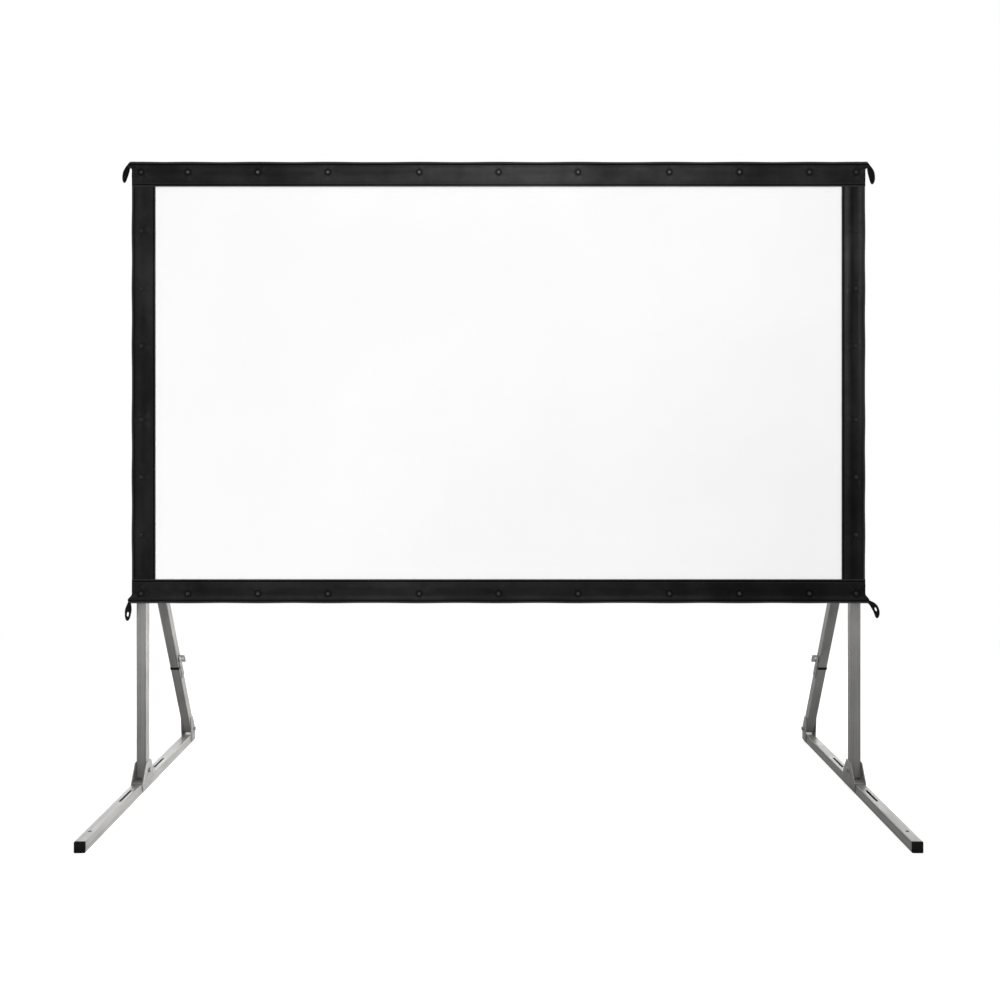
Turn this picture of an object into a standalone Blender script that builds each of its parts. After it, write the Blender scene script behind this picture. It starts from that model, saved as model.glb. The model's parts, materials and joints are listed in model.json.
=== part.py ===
"""Free-standing folding-frame projection screen on two folding legs.

Metres, +Z up. The origin is on the floor, midway between the legs and midway along the feet.
The screen faces -Y. Every piece is one named object, and a moving piece turns about its origin
or about the origin of the empty that carries it.
"""
import math

import bmesh
import bpy
from mathutils import Matrix, Vector

# Clearances
contact_gap = 0.0003
fold_gap = 0.0010
cut_overrun = 0.004
merge_distance = 0.00001

# Picture and cloth
view_width = 2.214
view_height = 1.267
border_width = 0.076
border_thickness = 0.0012
sheet_thickness = 0.0009
sheet_lap = 0.022
cloth_floor_height = 0.618

# Snap fasteners
snap_inset = 0.030
snap_cell_half = 0.0085
snap_cap_radius = 0.0068
snap_cap_crown_radius = 0.0042
snap_cap_rim = 0.0012
snap_cap_height = 0.0030
snap_socket_radius = 0.0050
snap_socket_depth = 0.0012
snap_stud_radius = 0.0040
snap_stud_height = 0.0015
middle_snap_shares = (-0.64, 0, 0.64)
outer_snap_shares = (0.2, 0.5, 0.8)
side_snap_shares = (0.175, 0.448, 0.721)

# Pulled-out corners and webbing loops of the border
corner_reach = 0.013
corner_lip = 0.006
top_corner_height = 0.016
bottom_corner_height = 0.029
loop_thickness = 0.0016
loop_root_half_width = 0.0045
turned_belly_half_width = 0.0070
part_turned_belly_half_width = 0.0095
flat_belly_half_width = 0.0105
loop_eye_half_length = 0.0085
loop_eye_half_width = 0.0042
loop_root_inset = 0.006
short_loop_length = 0.064
long_loop_length = 0.068
loop_eye_share = 0.66

# Rails of the frame
rail_width = 0.045
rail_depth = 0.035
rail_wall = 0.0016
rail_corner_radius = 0.003
rail_joint_gap = 0.0006
rail_joint_x = 0.400
elbow_arm = 0.070
spigot_length = 0.040

# Fold joints of the frame
hinge_plate_length = 0.110
hinge_plate_width = 0.030
hinge_plate_thickness = 0.003
hinge_plate_radius = 0.006
hinge_boss_radius = 0.0085
hinge_boss_height = 0.0025
hinge_boss_from_edge = 0.012
rivet_radius = 0.0035
rivet_height = 0.0014
rivet_end_inset = 0.010
rivet_pair_half_pitch = 0.007
latch_pivot_from_joint = 0.030
latch_pivot_height = 0.0075
latch_pin_radius = 0.0020
latch_barrel_radius = 0.0048
latch_lever_length = 0.066
latch_lever_width = 0.014
latch_lever_thickness = 0.0032
latch_tip_rise = 0.0060
latch_tip_run = 0.0090
latch_ear_thickness = 0.0022
latch_keeper_from_joint = 0.016
latch_keeper_length = 0.010

# Square tube of the legs
leg_size = 0.032
leg_wall = 0.0016
leg_corner_radius = 0.0025
post_top_z = 1.120
plug_length = 0.020
post_cap_flange = 0.003
foot_cap_flange = 0.005
foot_length = 0.990
foot_pivot_z = 0.0605
post_end_below_pivot = 0.0185
slot_from_post = 0.105
slot_length = 0.095
slot_width = 0.008
stake_hole_radius = 0.0050
stake_hole_from_end = 0.072

# Brackets of the legs
plate = 0.003
saddle_foot_half_length = 0.055
saddle_top_half_length = 0.020
saddle_shoulder_z = 0.034
saddle_top_z = 0.0905
saddle_bottom_z = 0.0085
pivot_pin_radius = 0.0045
pivot_head_radius = 0.0085
pivot_head_height = 0.0025
brace_pin_radius = 0.0038
brace_head_radius = 0.0070
brace_top_z = 0.890
top_bracket_reach = 0.017
top_bracket_lap = 0.026
top_bracket_drop = 0.020
top_bracket_web_rise = 0.022
top_bracket_rise = 0.064
foot_bracket_pivot_inset = 0.013
foot_bracket_lap = 0.042
foot_bracket_bottom_z = 0.006
foot_bracket_top_z = 0.098
foot_bracket_half_width = 0.016
foot_bracket_shoulder_z = 0.030

# Diagonal brace
lower_brace_length = 0.3105
brace_joint_gap = 0.004
brace_round_gap = 0.0003
lock_plate_width = 0.022
lock_plate_below = 0.052
lock_plate_above = 0.022
lock_rivet_radius = 0.004
lock_rivet_spacing = 0.026
lock_rivet_head = 0.0014
knob_above_joint = 0.031
knob_stem_radius = 0.0040
knob_stem_inside = 0.010
knob_flange_radius = 0.0125
knob_flange_thickness = 0.003
knob_hub_radius = 0.0080
knob_hub_height = 0.010
knob_wing_length = 0.030
knob_wing_thickness = 0.0065
knob_wing_height = 0.016

# Hand screws that hold the legs to the frame
lower_screw_z = 0.992
upper_screw_z = 1.080
screw_shank_radius = 0.0040
screw_shank_past_rail = 0.012
screw_flange_radius = 0.0120
screw_flange_thickness = 0.003
screw_knob_radius = 0.0150
screw_knob_lobe = 0.0016
screw_knob_height = 0.013

# Counts
corner_steps = 3
snap_sides = 16
pin_sides = 20
screw_lobes = 6
points_per_lobe = 6
loop_steps = 22
round_end_steps = 12

# Values worked out from the sizes above
leg_half = leg_size / 2
cloth_width = view_width + 2 * border_width
cloth_height = view_height + 2 * border_width
cloth_half = cloth_width / 2
cloth_low_z = cloth_floor_height
cloth_high_z = cloth_low_z + cloth_height
joint_mid_z = (cloth_low_z + cloth_high_z) / 2
corner_snap_x = cloth_half - snap_inset
corner_snap_rise = cloth_height / 2 - snap_inset
leg_x = cloth_half - leg_half
rail_back_y = -leg_half - contact_gap
rail_front_y = rail_back_y - rail_depth
rail_mid_y = (rail_back_y + rail_front_y) / 2
cloth_stand_off = snap_stud_height + contact_gap + snap_socket_depth
border_back_y = rail_front_y - cloth_stand_off
border_front_y = border_back_y - border_thickness
sheet_front_y = border_back_y + contact_gap
sheet_back_y = sheet_front_y + sheet_thickness
rail_centre_inset = rail_width / 2
foot_half_length = foot_length / 2
bracket_inner = leg_half + contact_gap
bracket_outer = bracket_inner + plate
pivot_hole_radius = pivot_pin_radius + contact_gap
brace_hole_radius = brace_pin_radius + contact_gap
brace_top = Vector((0, leg_half + fold_gap + leg_half, brace_top_z))
brace_foot = Vector((0, foot_half_length - plate - foot_bracket_pivot_inset,
                     leg_size + fold_gap + leg_half))
brace_up = (brace_top - brace_foot).normalized()
brace_joint = brace_foot + brace_up * lower_brace_length

materials = {}


def material(name, colour, roughness, metallic):
    """One Principled material, made once and then shared by name."""
    if name not in materials:
        made = bpy.data.materials.new(name)
        made.use_nodes = True
        shader = made.node_tree.nodes["Principled BSDF"]
        shader.inputs["Base Color"].default_value = (*colour, 1)
        shader.inputs["Roughness"].default_value = roughness
        shader.inputs["Metallic"].default_value = metallic
        materials[name] = made
    return materials[name]


def aluminium():
    return material("mill_aluminium", (0.56, 0.56, 0.55), 0.38, 0.9)


def zinc():
    return material("zinc_steel", (0.42, 0.42, 0.41), 0.34, 0.9)


def black_plastic():
    return material("black_plastic", (0.012, 0.012, 0.013), 0.45, 0)


def black_cloth():
    return material("black_border_cloth", (0.016, 0.016, 0.017), 0.72, 0)


def white_cloth():
    return material("white_screen_cloth", (0.86, 0.86, 0.85), 0.62, 0)


def frame_along(axis, origin=(0, 0, 0)):
    """Axes whose third direction runs along the named world axis."""
    columns = {"x": ((0, 1, 0), (0, 0, 1), (1, 0, 0)),
               "y": ((0, 0, 1), (1, 0, 0), (0, 1, 0)),
               "z": ((1, 0, 0), (0, 1, 0), (0, 0, 1))}[axis]
    turn = Matrix(columns).transposed().to_4x4()
    return Matrix.Translation(Vector(origin)) @ turn


def frame_between(origin, across, along):
    """Axes with the first direction across and the third along."""
    side = Vector(along).cross(Vector(across))
    turn = Matrix((across, side, along)).transposed().to_4x4()
    return Matrix.Translation(Vector(origin)) @ turn


def rounded_rectangle(width, height, radius, steps=corner_steps):
    """Outline of a rectangle with round corners."""
    outline = []
    for quarter in range(4):
        facing = quarter * math.pi / 2
        sign_u = 1 if quarter in (0, 3) else -1
        sign_v = 1 if quarter in (0, 1) else -1
        for step in range(steps + 1):
            angle = facing + step * math.pi / 2 / steps
            outline.append((sign_u * (width / 2 - radius) + radius * math.cos(angle),
                            sign_v * (height / 2 - radius) + radius * math.sin(angle)))
    return outline


def circle(radius, sides):
    turn = 2 * math.pi / sides
    return [(radius * math.cos(turn * i), radius * math.sin(turn * i)) for i in range(sides)]


def lobed_circle(radius, lobe, lobes, points_each):
    """A knob's outline: a circle with a wave of lobes round it."""
    outline = []
    for i in range(lobes * points_each):
        angle = 2 * math.pi * i / (lobes * points_each)
        reach = radius + lobe * math.cos(lobes * angle)
        outline.append((reach * math.cos(angle), reach * math.sin(angle)))
    return outline


def slot_outline(length, width, steps=round_end_steps):
    """Outline of a slot with half-round ends, lying along the second direction."""
    radius = width / 2
    straight = length / 2 - radius
    outline = []
    for i in range(steps + 1):
        angle = math.pi * i / steps
        outline.append((radius * math.cos(angle), straight + radius * math.sin(angle)))
    for i in range(steps + 1):
        angle = math.pi + math.pi * i / steps
        outline.append((radius * math.cos(angle), -straight + radius * math.sin(angle)))
    return outline


def ring_at(outline, frame, height):
    return [frame @ Vector((u, v, height)) for u, v in outline]


def add_rings(bm, rings, closed):
    """Join rings of points by quads, and cap the two ends of an open chain."""
    made = [[bm.verts.new(point) for point in ring] for ring in rings]
    pairs = list(zip(made, made[1:] + made[:1])) if closed else list(zip(made, made[1:]))
    for low, high in pairs:
        for i in range(len(low)):
            j = (i + 1) % len(low)
            bm.faces.new((low[i], low[j], high[j], high[i]))
    if not closed:
        bm.faces.new(made[0][::-1])
        bm.faces.new(made[-1])


def add_solid(bm, outline, frame, start, end):
    add_rings(bm, [ring_at(outline, frame, start), ring_at(outline, frame, end)], False)


def add_tube(bm, outer, inner, frame, start, end):
    """A tube with a wall, open at both ends."""
    rings = [ring_at(outer, frame, start), ring_at(outer, frame, end),
             ring_at(inner, frame, end), ring_at(inner, frame, start)]
    add_rings(bm, rings, True)


def add_box(bm, low, high):
    outline = [(low[0], low[1]), (high[0], low[1]), (high[0], high[1]), (low[0], high[1])]
    add_solid(bm, outline, frame_along("z"), low[2], high[2])


def add_cylinder(bm, radius, frame, start, end, sides=pin_sides):
    add_solid(bm, circle(radius, sides), frame, start, end)


def finished_mesh(name, bm, origin):
    bmesh.ops.recalc_face_normals(bm, faces=bm.faces)
    bmesh.ops.translate(bm, verts=bm.verts, vec=-Vector(origin))
    mesh = bpy.data.meshes.new(name)
    bm.to_mesh(mesh)
    bm.free()
    mesh.shade_smooth()
    mesh.set_sharp_from_angle(angle=math.radians(35))
    return mesh


def piece(name, bm, look, origin=(0, 0, 0), carrier=None):
    """Turn a finished bmesh in world places into a named object with its own origin."""
    mesh = finished_mesh(name, bm, origin)
    mesh.materials.append(look)
    made = bpy.data.objects.new(name, mesh)
    bpy.context.scene.collection.objects.link(made)
    made.location = origin
    if carrier is not None:
        made.parent = carrier
        made.location = Vector(origin) - carrier.location
    return made


def pivot_empty(name, place):
    made = bpy.data.objects.new(name, None)
    made.empty_display_size = leg_size
    made.location = place
    bpy.context.scene.collection.objects.link(made)
    return made


def tool(name, bm):
    """A hidden solid that a Boolean adds to or cuts from a piece."""
    made = bpy.data.objects.new(name, finished_mesh(name, bm, (0, 0, 0)))
    made.hide_render = True
    made.display_type = "WIRE"
    bpy.context.scene.collection.objects.link(made)
    return made


def combine(target, operand, operation):
    step = target.modifiers.new(operand.name, "BOOLEAN")
    step.operation = operation
    step.solver = "EXACT"
    step.object = operand


def rail_outlines():
    outer = rounded_rectangle(rail_width, rail_depth, rail_corner_radius)
    inner = rounded_rectangle(rail_width - 2 * rail_wall, rail_depth - 2 * rail_wall,
                              rail_corner_radius - rail_wall)
    return outer, inner


def leg_outlines():
    outer = rounded_rectangle(leg_size, leg_size, leg_corner_radius)
    inner = rounded_rectangle(leg_size - 2 * leg_wall, leg_size - 2 * leg_wall,
                              leg_corner_radius - leg_wall)
    return outer, inner


def plug_outline():
    """What fits inside the legs' tube."""
    size = leg_size - 2 * (leg_wall + contact_gap)
    return rounded_rectangle(size, size, leg_corner_radius - leg_wall)


def places_between(start, end, shares):
    """Places of a row of snaps, as shares of the way from one place to another."""
    return [start + (end - start) * share for share in shares]


class Rail:
    """One tube of the frame: where it runs, its snaps and its fold joints."""

    def __init__(self, name, axis, start, end, cross, inward, snaps):
        self.name = name
        self.axis = axis
        self.start = start
        self.end = end
        self.cross = cross
        self.inward = inward
        self.snaps = snaps

    def point(self, along, across, y):
        """World place from a length along the rail and a place across it."""
        if self.axis == "x":
            return Vector((along, y, across))
        return Vector((across, y, along))


class Joint:
    """A fold joint: its middle, the way its latch points, the way inwards."""

    def __init__(self, name, middle, along, inward):
        self.name = name
        self.middle = Vector(middle)
        self.along = Vector(along)
        self.inward = Vector(inward)

    def frame(self, y=0.0):
        """Axes: along the rail, inwards, and through the frame."""
        across = self.along.cross(self.inward)
        turn = Matrix((self.along, self.inward, across)).transposed().to_4x4()
        return Matrix.Translation(self.middle + Vector((0, y, 0))) @ turn


def rail_list():
    """The ten tubes of the frame."""
    low = cloth_low_z + rail_centre_inset
    high = cloth_high_z - rail_centre_inset
    rail_end = cloth_half - elbow_arm - rail_joint_gap / 2
    break_end = rail_joint_gap / 2
    rails = []
    for row, z, inward, snap_z in (("top", high, -1, cloth_high_z - snap_inset),
                                   ("bottom", low, 1, cloth_low_z + snap_inset)):
        middle = places_between(0, rail_joint_x, middle_snap_shares)
        rails.append(Rail(f"{row}_rail_middle", "x", -rail_joint_x + break_end,
                          rail_joint_x - break_end, z, inward, (middle, snap_z)))
        for side, way in (("left", -1), ("right", 1)):
            places = places_between(way * rail_joint_x, way * corner_snap_x, outer_snap_shares)
            ends = sorted((way * (rail_joint_x + break_end), way * rail_end))
            rails.append(Rail(f"{row}_rail_{side}", "x", ends[0], ends[1], z, inward,
                              (places, snap_z)))
    for side, way in (("left", -1), ("right", 1)):
        x = way * (cloth_half - rail_centre_inset)
        snap_x = way * (cloth_half - snap_inset)
        for part, up in (("lower", -1), ("upper", 1)):
            corner_z = cloth_low_z + elbow_arm if up < 0 else cloth_high_z - elbow_arm
            places = places_between(joint_mid_z, joint_mid_z + up * corner_snap_rise,
                                    side_snap_shares)
            ends = sorted((joint_mid_z + up * break_end, corner_z - up * rail_joint_gap / 2))
            rails.append(Rail(f"side_rail_{side}_{part}", "z", ends[0], ends[1], x, -way,
                              (places, snap_x)))
    return rails


def joint_list():
    """The six fold joints. A latch's lever points away from the middle, or upwards."""
    low = cloth_low_z + rail_centre_inset
    high = cloth_high_z - rail_centre_inset
    side_x = cloth_half - rail_centre_inset
    joints = []
    for side, way in (("left", -1), ("right", 1)):
        joints.append(Joint(f"top_{side}", (way * rail_joint_x, 0, high), (way, 0, 0), (0, 0, -1)))
        joints.append(Joint(f"bottom_{side}", (way * rail_joint_x, 0, low), (way, 0, 0), (0, 0, 1)))
        joints.append(Joint(f"side_{side}", (way * side_x, 0, joint_mid_z), (0, 0, 1), (-way, 0, 0)))
    return joints


def add_snap_stud(bm, place):
    """A stud on the rail's face, rooted in its wall."""
    frame = frame_along("y", (place[0], rail_front_y, place[1]))
    add_cylinder(bm, snap_stud_radius, frame, rail_wall / 2, -snap_stud_height, snap_sides)


def latch_parts(joint):
    """Ears and pin on one tube, keeper on the next, as two tools for the rails."""
    base = rail_width / 2
    root = base - rail_wall / 2
    frame = joint.frame(rail_mid_y)
    pivot_u = -latch_pivot_from_joint
    pivot_v = base + latch_pivot_height
    inner = latch_lever_width / 2 + contact_gap
    outer = inner + latch_ear_thickness
    ear_half = latch_barrel_radius
    ears = bmesh.new()
    outline = [(pivot_u - ear_half, root), (pivot_u + ear_half, root),
               (pivot_u + ear_half, pivot_v + ear_half), (pivot_u - ear_half, pivot_v + ear_half)]
    add_solid(ears, outline, frame, inner, outer)
    add_solid(ears, outline, frame, -outer, -inner)
    pin = bmesh.new()
    pin_frame = frame @ Matrix.Translation((pivot_u, pivot_v, 0))
    reach = inner + latch_ear_thickness / 2
    add_cylinder(pin, latch_pin_radius, pin_frame, -reach, reach, snap_sides)
    keeper = bmesh.new()
    start = latch_keeper_from_joint
    rise = base + latch_pivot_height - latch_lever_thickness / 2 - contact_gap
    outline = [(start, root), (start + latch_keeper_length, root),
               (start + latch_keeper_length, rise), (start, rise)]
    half = latch_lever_width / 2
    add_solid(keeper, outline, frame, -half, half)
    return (tool(f"latch_ears_{joint.name}", ears), tool(f"latch_pin_{joint.name}", pin),
            tool(f"latch_keeper_{joint.name}", keeper))


def carries(rail, place):
    """True where a place lies along this rail and on its line."""
    along = place.x if rail.axis == "x" else place.z
    across = place.z if rail.axis == "x" else place.x
    return rail.start < along < rail.end and abs(across - rail.cross) < rail_width


def build_rails():
    """Tubes with their snap studs and latch parts, and the screw holes of the side tubes."""
    outer, inner = rail_outlines()
    side_outer = [(v, u) for u, v in reversed(outer)]
    side_inner = [(v, u) for u, v in reversed(inner)]
    joints = joint_list()
    latches = {joint.name: latch_parts(joint) for joint in joints}
    for rail in rail_list():
        bm = bmesh.new()
        if rail.axis == "x":
            frame = frame_along("x", (0, rail_mid_y, rail.cross))
            add_tube(bm, side_outer, side_inner, frame, rail.start, rail.end)
        else:
            frame = frame_along("z", (rail.cross, rail_mid_y, 0))
            add_tube(bm, outer, inner, frame, rail.start, rail.end)
        tube = piece(rail.name, bm, aluminium())
        studs = bmesh.new()
        places, across = rail.snaps
        for along in places:
            spot = rail.point(along, across, 0)
            add_snap_stud(studs, (spot.x, spot.z))
        combine(tube, tool(f"{rail.name}_studs", studs), "UNION")
        for joint in joints:
            ears, pin, keeper = latches[joint.name]
            if carries(rail, joint.middle - joint.along * latch_pivot_from_joint):
                combine(tube, ears, "UNION")
                combine(tube, pin, "UNION")
            if carries(rail, joint.middle + joint.along * latch_keeper_from_joint):
                combine(tube, keeper, "UNION")
        if rail.name.endswith("_lower"):
            combine(tube, screw_hole_tool(rail), "DIFFERENCE")


def screw_hole_tool(rail):
    """Holes in a side tube's back wall for its leg's hand screws."""
    bm = bmesh.new()
    x = math.copysign(leg_x, rail.cross)
    for z in (lower_screw_z, upper_screw_z):
        frame = frame_along("y", (x, rail_back_y, z))
        add_cylinder(bm, screw_shank_radius + contact_gap, frame, -rail_wall - cut_overrun,
                     cut_overrun)
    return tool(f"{rail.name}_screw_holes", bm)


def build_elbows():
    """Corner pieces whose spigots slide into two tubes."""
    clear = rail_wall + contact_gap
    spigot_u = rail_width - 2 * clear
    spigot_v = rail_depth - 2 * clear
    radius = rail_corner_radius - rail_wall
    for row, z, up in (("top", cloth_high_z, -1), ("bottom", cloth_low_z, 1)):
        for side, way in (("left", -1), ("right", 1)):
            x = way * cloth_half
            arm_x = x - way * elbow_arm
            arm_z = z + up * elbow_arm
            in_x = x - way * rail_width
            in_z = z + up * rail_width
            bm = bmesh.new()
            outline = [(z, x), (z, arm_x), (in_z, arm_x), (in_z, in_x), (arm_z, in_x), (arm_z, x)]
            add_solid(bm, outline, frame_along("y"), rail_front_y, rail_back_y)
            elbow = piece(f"corner_elbow_{row}_{side}", bm, black_plastic())
            spigots = bmesh.new()
            frame = frame_along("x", (arm_x, rail_mid_y, z + up * rail_centre_inset))
            outline = rounded_rectangle(spigot_v, spigot_u, radius)
            add_solid(spigots, outline, frame, way * plate, -way * spigot_length)
            frame = frame_along("z", (x - way * rail_centre_inset, rail_mid_y, arm_z))
            outline = rounded_rectangle(spigot_u, spigot_v, radius)
            add_solid(spigots, outline, frame, -up * plate, up * spigot_length)
            stud = (x - way * snap_inset, z + up * snap_inset)
            add_snap_stud(spigots, stud)
            combine(elbow, tool(f"elbow_spigots_{row}_{side}", spigots), "UNION")


def build_fold_hinges():
    """A riveted plate on the back of each fold joint, with its pivot near the outer edge."""
    for joint in joint_list():
        frame = joint.frame(rail_back_y + contact_gap)
        back = 1 if (frame.to_3x3() @ Vector((0, 0, 1))).y > 0 else -1
        bm = bmesh.new()
        outline = rounded_rectangle(hinge_plate_length, hinge_plate_width, hinge_plate_radius)
        add_solid(bm, outline, frame, 0, back * hinge_plate_thickness)
        hinge = piece(f"fold_hinge_{joint.name}", bm, zinc())
        heads = bmesh.new()
        root = back * hinge_plate_thickness / 2
        boss = frame @ Matrix.Translation((0, -rail_width / 2 + hinge_boss_from_edge, 0))
        add_cylinder(heads, hinge_boss_radius, boss, root,
                     back * (hinge_plate_thickness + hinge_boss_height))
        rivet_u = hinge_plate_length / 2 - rivet_end_inset
        for u in (-rivet_u, rivet_u):
            for v in (-rivet_pair_half_pitch, rivet_pair_half_pitch):
                spot = frame @ Matrix.Translation((u, v, 0))
                add_cylinder(heads, rivet_radius, spot, root,
                             back * (hinge_plate_thickness + rivet_height), snap_sides)
        combine(hinge, tool(f"fold_hinge_heads_{joint.name}", heads), "UNION")


def build_fold_latches():
    """Levers on the tubes' inner edges, each turning on the pin between its ears."""
    for joint in joint_list():
        pivot_u = -latch_pivot_from_joint
        pivot_v = rail_width / 2 + latch_pivot_height
        frame = joint.frame(rail_mid_y) @ Matrix.Translation((pivot_u, pivot_v, 0))
        centre = frame.to_translation()
        half = latch_lever_thickness / 2
        tip = latch_lever_length
        outline = [(0, -half), (tip - latch_tip_run, -half), (tip, latch_tip_rise - half),
                   (tip, latch_tip_rise + half), (tip - latch_tip_run, half), (0, half)]
        bm = bmesh.new()
        wide = latch_lever_width / 2
        add_solid(bm, outline, frame, -wide, wide)
        lever = piece(f"fold_latch_{joint.name}", bm, black_plastic(), centre)
        barrel = bmesh.new()
        add_cylinder(barrel, latch_barrel_radius, frame, -wide, wide)
        combine(lever, tool(f"latch_barrel_{joint.name}", barrel), "UNION")
        bore = bmesh.new()
        reach = wide + cut_overrun
        add_cylinder(bore, latch_pin_radius + contact_gap, frame, -reach, reach, snap_sides)
        combine(lever, tool(f"latch_bore_{joint.name}", bore), "DIFFERENCE")


def build_sheet():
    """The white screen cloth, lapped behind the border."""
    half = view_width / 2 + sheet_lap
    low = cloth_low_z + border_width - sheet_lap
    high = cloth_high_z - border_width + sheet_lap
    bm = bmesh.new()
    add_box(bm, (-half, sheet_front_y, low), (half, sheet_back_y, high))
    piece("projection_sheet", bm, white_cloth())


class Band:
    """One band of the border: where it runs, its two ends and its row of snaps.

    Its points are given along the band and across it, from the inner edge to the outer one.
    """

    def __init__(self, name, axis, inner, edge, snap_line, snaps, start, end):
        self.name = name
        self.axis = axis
        self.inner = inner
        self.edge = edge
        self.snap_line = snap_line
        self.snaps = sorted(snaps)
        self.start = start
        self.end = end

    def point(self, along, across, y):
        if self.axis == "x":
            return Vector((along, y, across))
        return Vector((across, y, along))

    def cross_line(self, along):
        """Points straight across the band beside a snap."""
        outwards = math.copysign(snap_cell_half, self.edge - self.inner)
        rows = (self.inner, self.snap_line - outwards, self.snap_line + outwards, self.edge)
        return [(along, row) for row in rows]

    def circle(self, snap, radius):
        """Points round a snap, the first one towards a corner of its square."""
        turn = 2 * math.pi / snap_sides
        points = []
        for i in range(snap_sides):
            angle = math.pi / 4 + turn * i
            points.append((snap + radius * math.cos(angle),
                           self.snap_line + radius * math.sin(angle)))
        return points

    def face_outlines(self, hole_radius):
        """Outlines that together fill one side of the band, apart from its round holes."""
        cell = snap_cell_half
        lefts = [self.start] + [self.cross_line(snap + cell) for snap in self.snaps]
        rights = [self.cross_line(snap - cell) for snap in self.snaps] + [self.end]
        outlines = [left + right[::-1] for left, right in zip(lefts, rights)]
        quarter = snap_sides // 4
        for snap in self.snaps:
            near = self.cross_line(snap - cell)
            far = self.cross_line(snap + cell)
            outlines.append([near[0], near[1], far[1], far[0]])
            outlines.append([near[2], near[3], far[3], far[2]])
            corners = [(snap + cell, self.snap_line + cell), (snap - cell, self.snap_line + cell),
                       (snap - cell, self.snap_line - cell), (snap + cell, self.snap_line - cell)]
            ring = self.circle(snap, hole_radius)
            for i in range(4):
                arc = [ring[(quarter * i + j) % snap_sides] for j in range(quarter + 1)]
                outlines.append([corners[i]] + arc + [corners[(i + 1) % 4]])
        return outlines

    def rim(self):
        """The band's whole outline, with the points where its faces meet."""
        cell = snap_cell_half
        breaks = [place for snap in self.snaps for place in (snap - cell, snap + cell)]
        return (self.start + [(place, self.edge) for place in breaks] + self.end[::-1]
                + [(place, self.inner) for place in reversed(breaks)])

    def build(self):
        bm = bmesh.new()
        for y, radius in ((border_front_y, snap_cap_radius), (border_back_y, snap_socket_radius)):
            for outline in self.face_outlines(radius):
                bm.faces.new([bm.verts.new(self.point(*place, y)) for place in outline])
        front = [bm.verts.new(self.point(*place, border_front_y)) for place in self.rim()]
        back = [bm.verts.new(self.point(*place, border_back_y)) for place in self.rim()]
        for i in range(len(front)):
            j = (i + 1) % len(front)
            bm.faces.new((front[i], front[j], back[j], back[i]))
        for snap in self.snaps:
            self.add_profile(bm, snap, ((border_front_y, snap_cap_radius),
                                        (border_front_y - snap_cap_rim, snap_cap_radius),
                                        (border_front_y - snap_cap_height, snap_cap_crown_radius)))
            self.add_profile(bm, snap, ((border_back_y, snap_socket_radius),
                                        (border_back_y + snap_socket_depth, snap_socket_radius)))
        bmesh.ops.remove_doubles(bm, verts=bm.verts, dist=merge_distance)
        piece(self.name, bm, black_cloth())

    def add_profile(self, bm, snap, profile):
        """A round boss of a snap, turned from its depths and radii and closed at its end."""
        rings = []
        for y, radius in profile:
            points = self.circle(snap, radius)
            rings.append([bm.verts.new(self.point(*place, y)) for place in points])
        for low, high in zip(rings, rings[1:]):
            for i in range(snap_sides):
                j = (i + 1) % snap_sides
                bm.faces.new((low[i], low[j], high[j], high[i]))
        bm.faces.new(rings[-1])


def pulled_end(way, inner, edge, corner_height):
    """The end of a top or bottom band, with its corner pulled outwards."""
    outwards = math.copysign(1, edge - inner)
    reach = cloth_half + corner_reach
    return [(way * cloth_half, inner), (way * cloth_half, edge - outwards * corner_height),
            (way * reach, edge - outwards * corner_lip), (way * reach, edge)]


def build_border():
    """Four black bands. The top and bottom ones run the full width over the sides' ends."""
    rails = rail_list()
    for row, edge, up, height in (("top", cloth_high_z, -1, top_corner_height),
                                  ("bottom", cloth_low_z, 1, bottom_corner_height)):
        inner = edge + up * border_width
        snaps = [x for rail in rails if rail.name.startswith(row) for x in rail.snaps[0]]
        Band(f"border_{row}", "x", inner, edge, edge + up * snap_inset,
             snaps + [-corner_snap_x, corner_snap_x], pulled_end(-1, inner, edge, height),
             pulled_end(1, inner, edge, height)).build()
    low = cloth_low_z + border_width + contact_gap
    high = cloth_high_z - border_width - contact_gap
    for side, way in (("left", -1), ("right", 1)):
        edge = way * cloth_half
        inner = way * (cloth_half - border_width)
        snaps = [z for rail in rails if rail.name.startswith(f"side_rail_{side}")
                 for z in rail.snaps[0]]
        Band(f"border_{side}", "z", inner, edge, way * corner_snap_x, snaps,
             [(low, inner), (low, edge)], [(high, inner), (high, edge)]).build()


class WebbingLoop:
    """A flat webbing loop that bends in the cloth's plane, with an eye through it."""

    def __init__(self, name, start, heading_deg, bend_deg, length, belly):
        self.name = name
        self.start = start
        self.heading = math.radians(heading_deg)
        self.bend = math.radians(bend_deg)
        self.length = length
        self.belly = belly

    def place(self, share, offset):
        """Point at a share of the length, moved sideways by an offset: x and z."""
        angle = self.heading + self.bend * share
        radius = self.length / self.bend
        along_x = radius * (math.sin(angle) - math.sin(self.heading))
        along_z = -radius * (math.cos(angle) - math.cos(self.heading))
        return (self.start[0] + along_x - offset * math.sin(angle),
                self.start[1] + along_z + offset * math.cos(angle))

    def half_width(self, share):
        swell = math.sin(math.pi * share) ** 2 if share < 0.5 else 1
        width = loop_root_half_width + (self.belly - loop_root_half_width) * swell
        return width * math.sqrt(1 - share ** 5)

    def outline(self):
        shares = [i / loop_steps for i in range(loop_steps + 1)]
        one = [self.place(share, self.half_width(share)) for share in shares]
        other = [self.place(share, -self.half_width(share)) for share in reversed(shares[:-1])]
        return one + other

    def eye(self):
        points = []
        for i in range(snap_sides):
            angle = 2 * math.pi * i / snap_sides
            along = loop_eye_share + loop_eye_half_length * math.cos(angle) / self.length
            points.append(self.place(along, loop_eye_half_width * math.sin(angle)))
        return points


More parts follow.
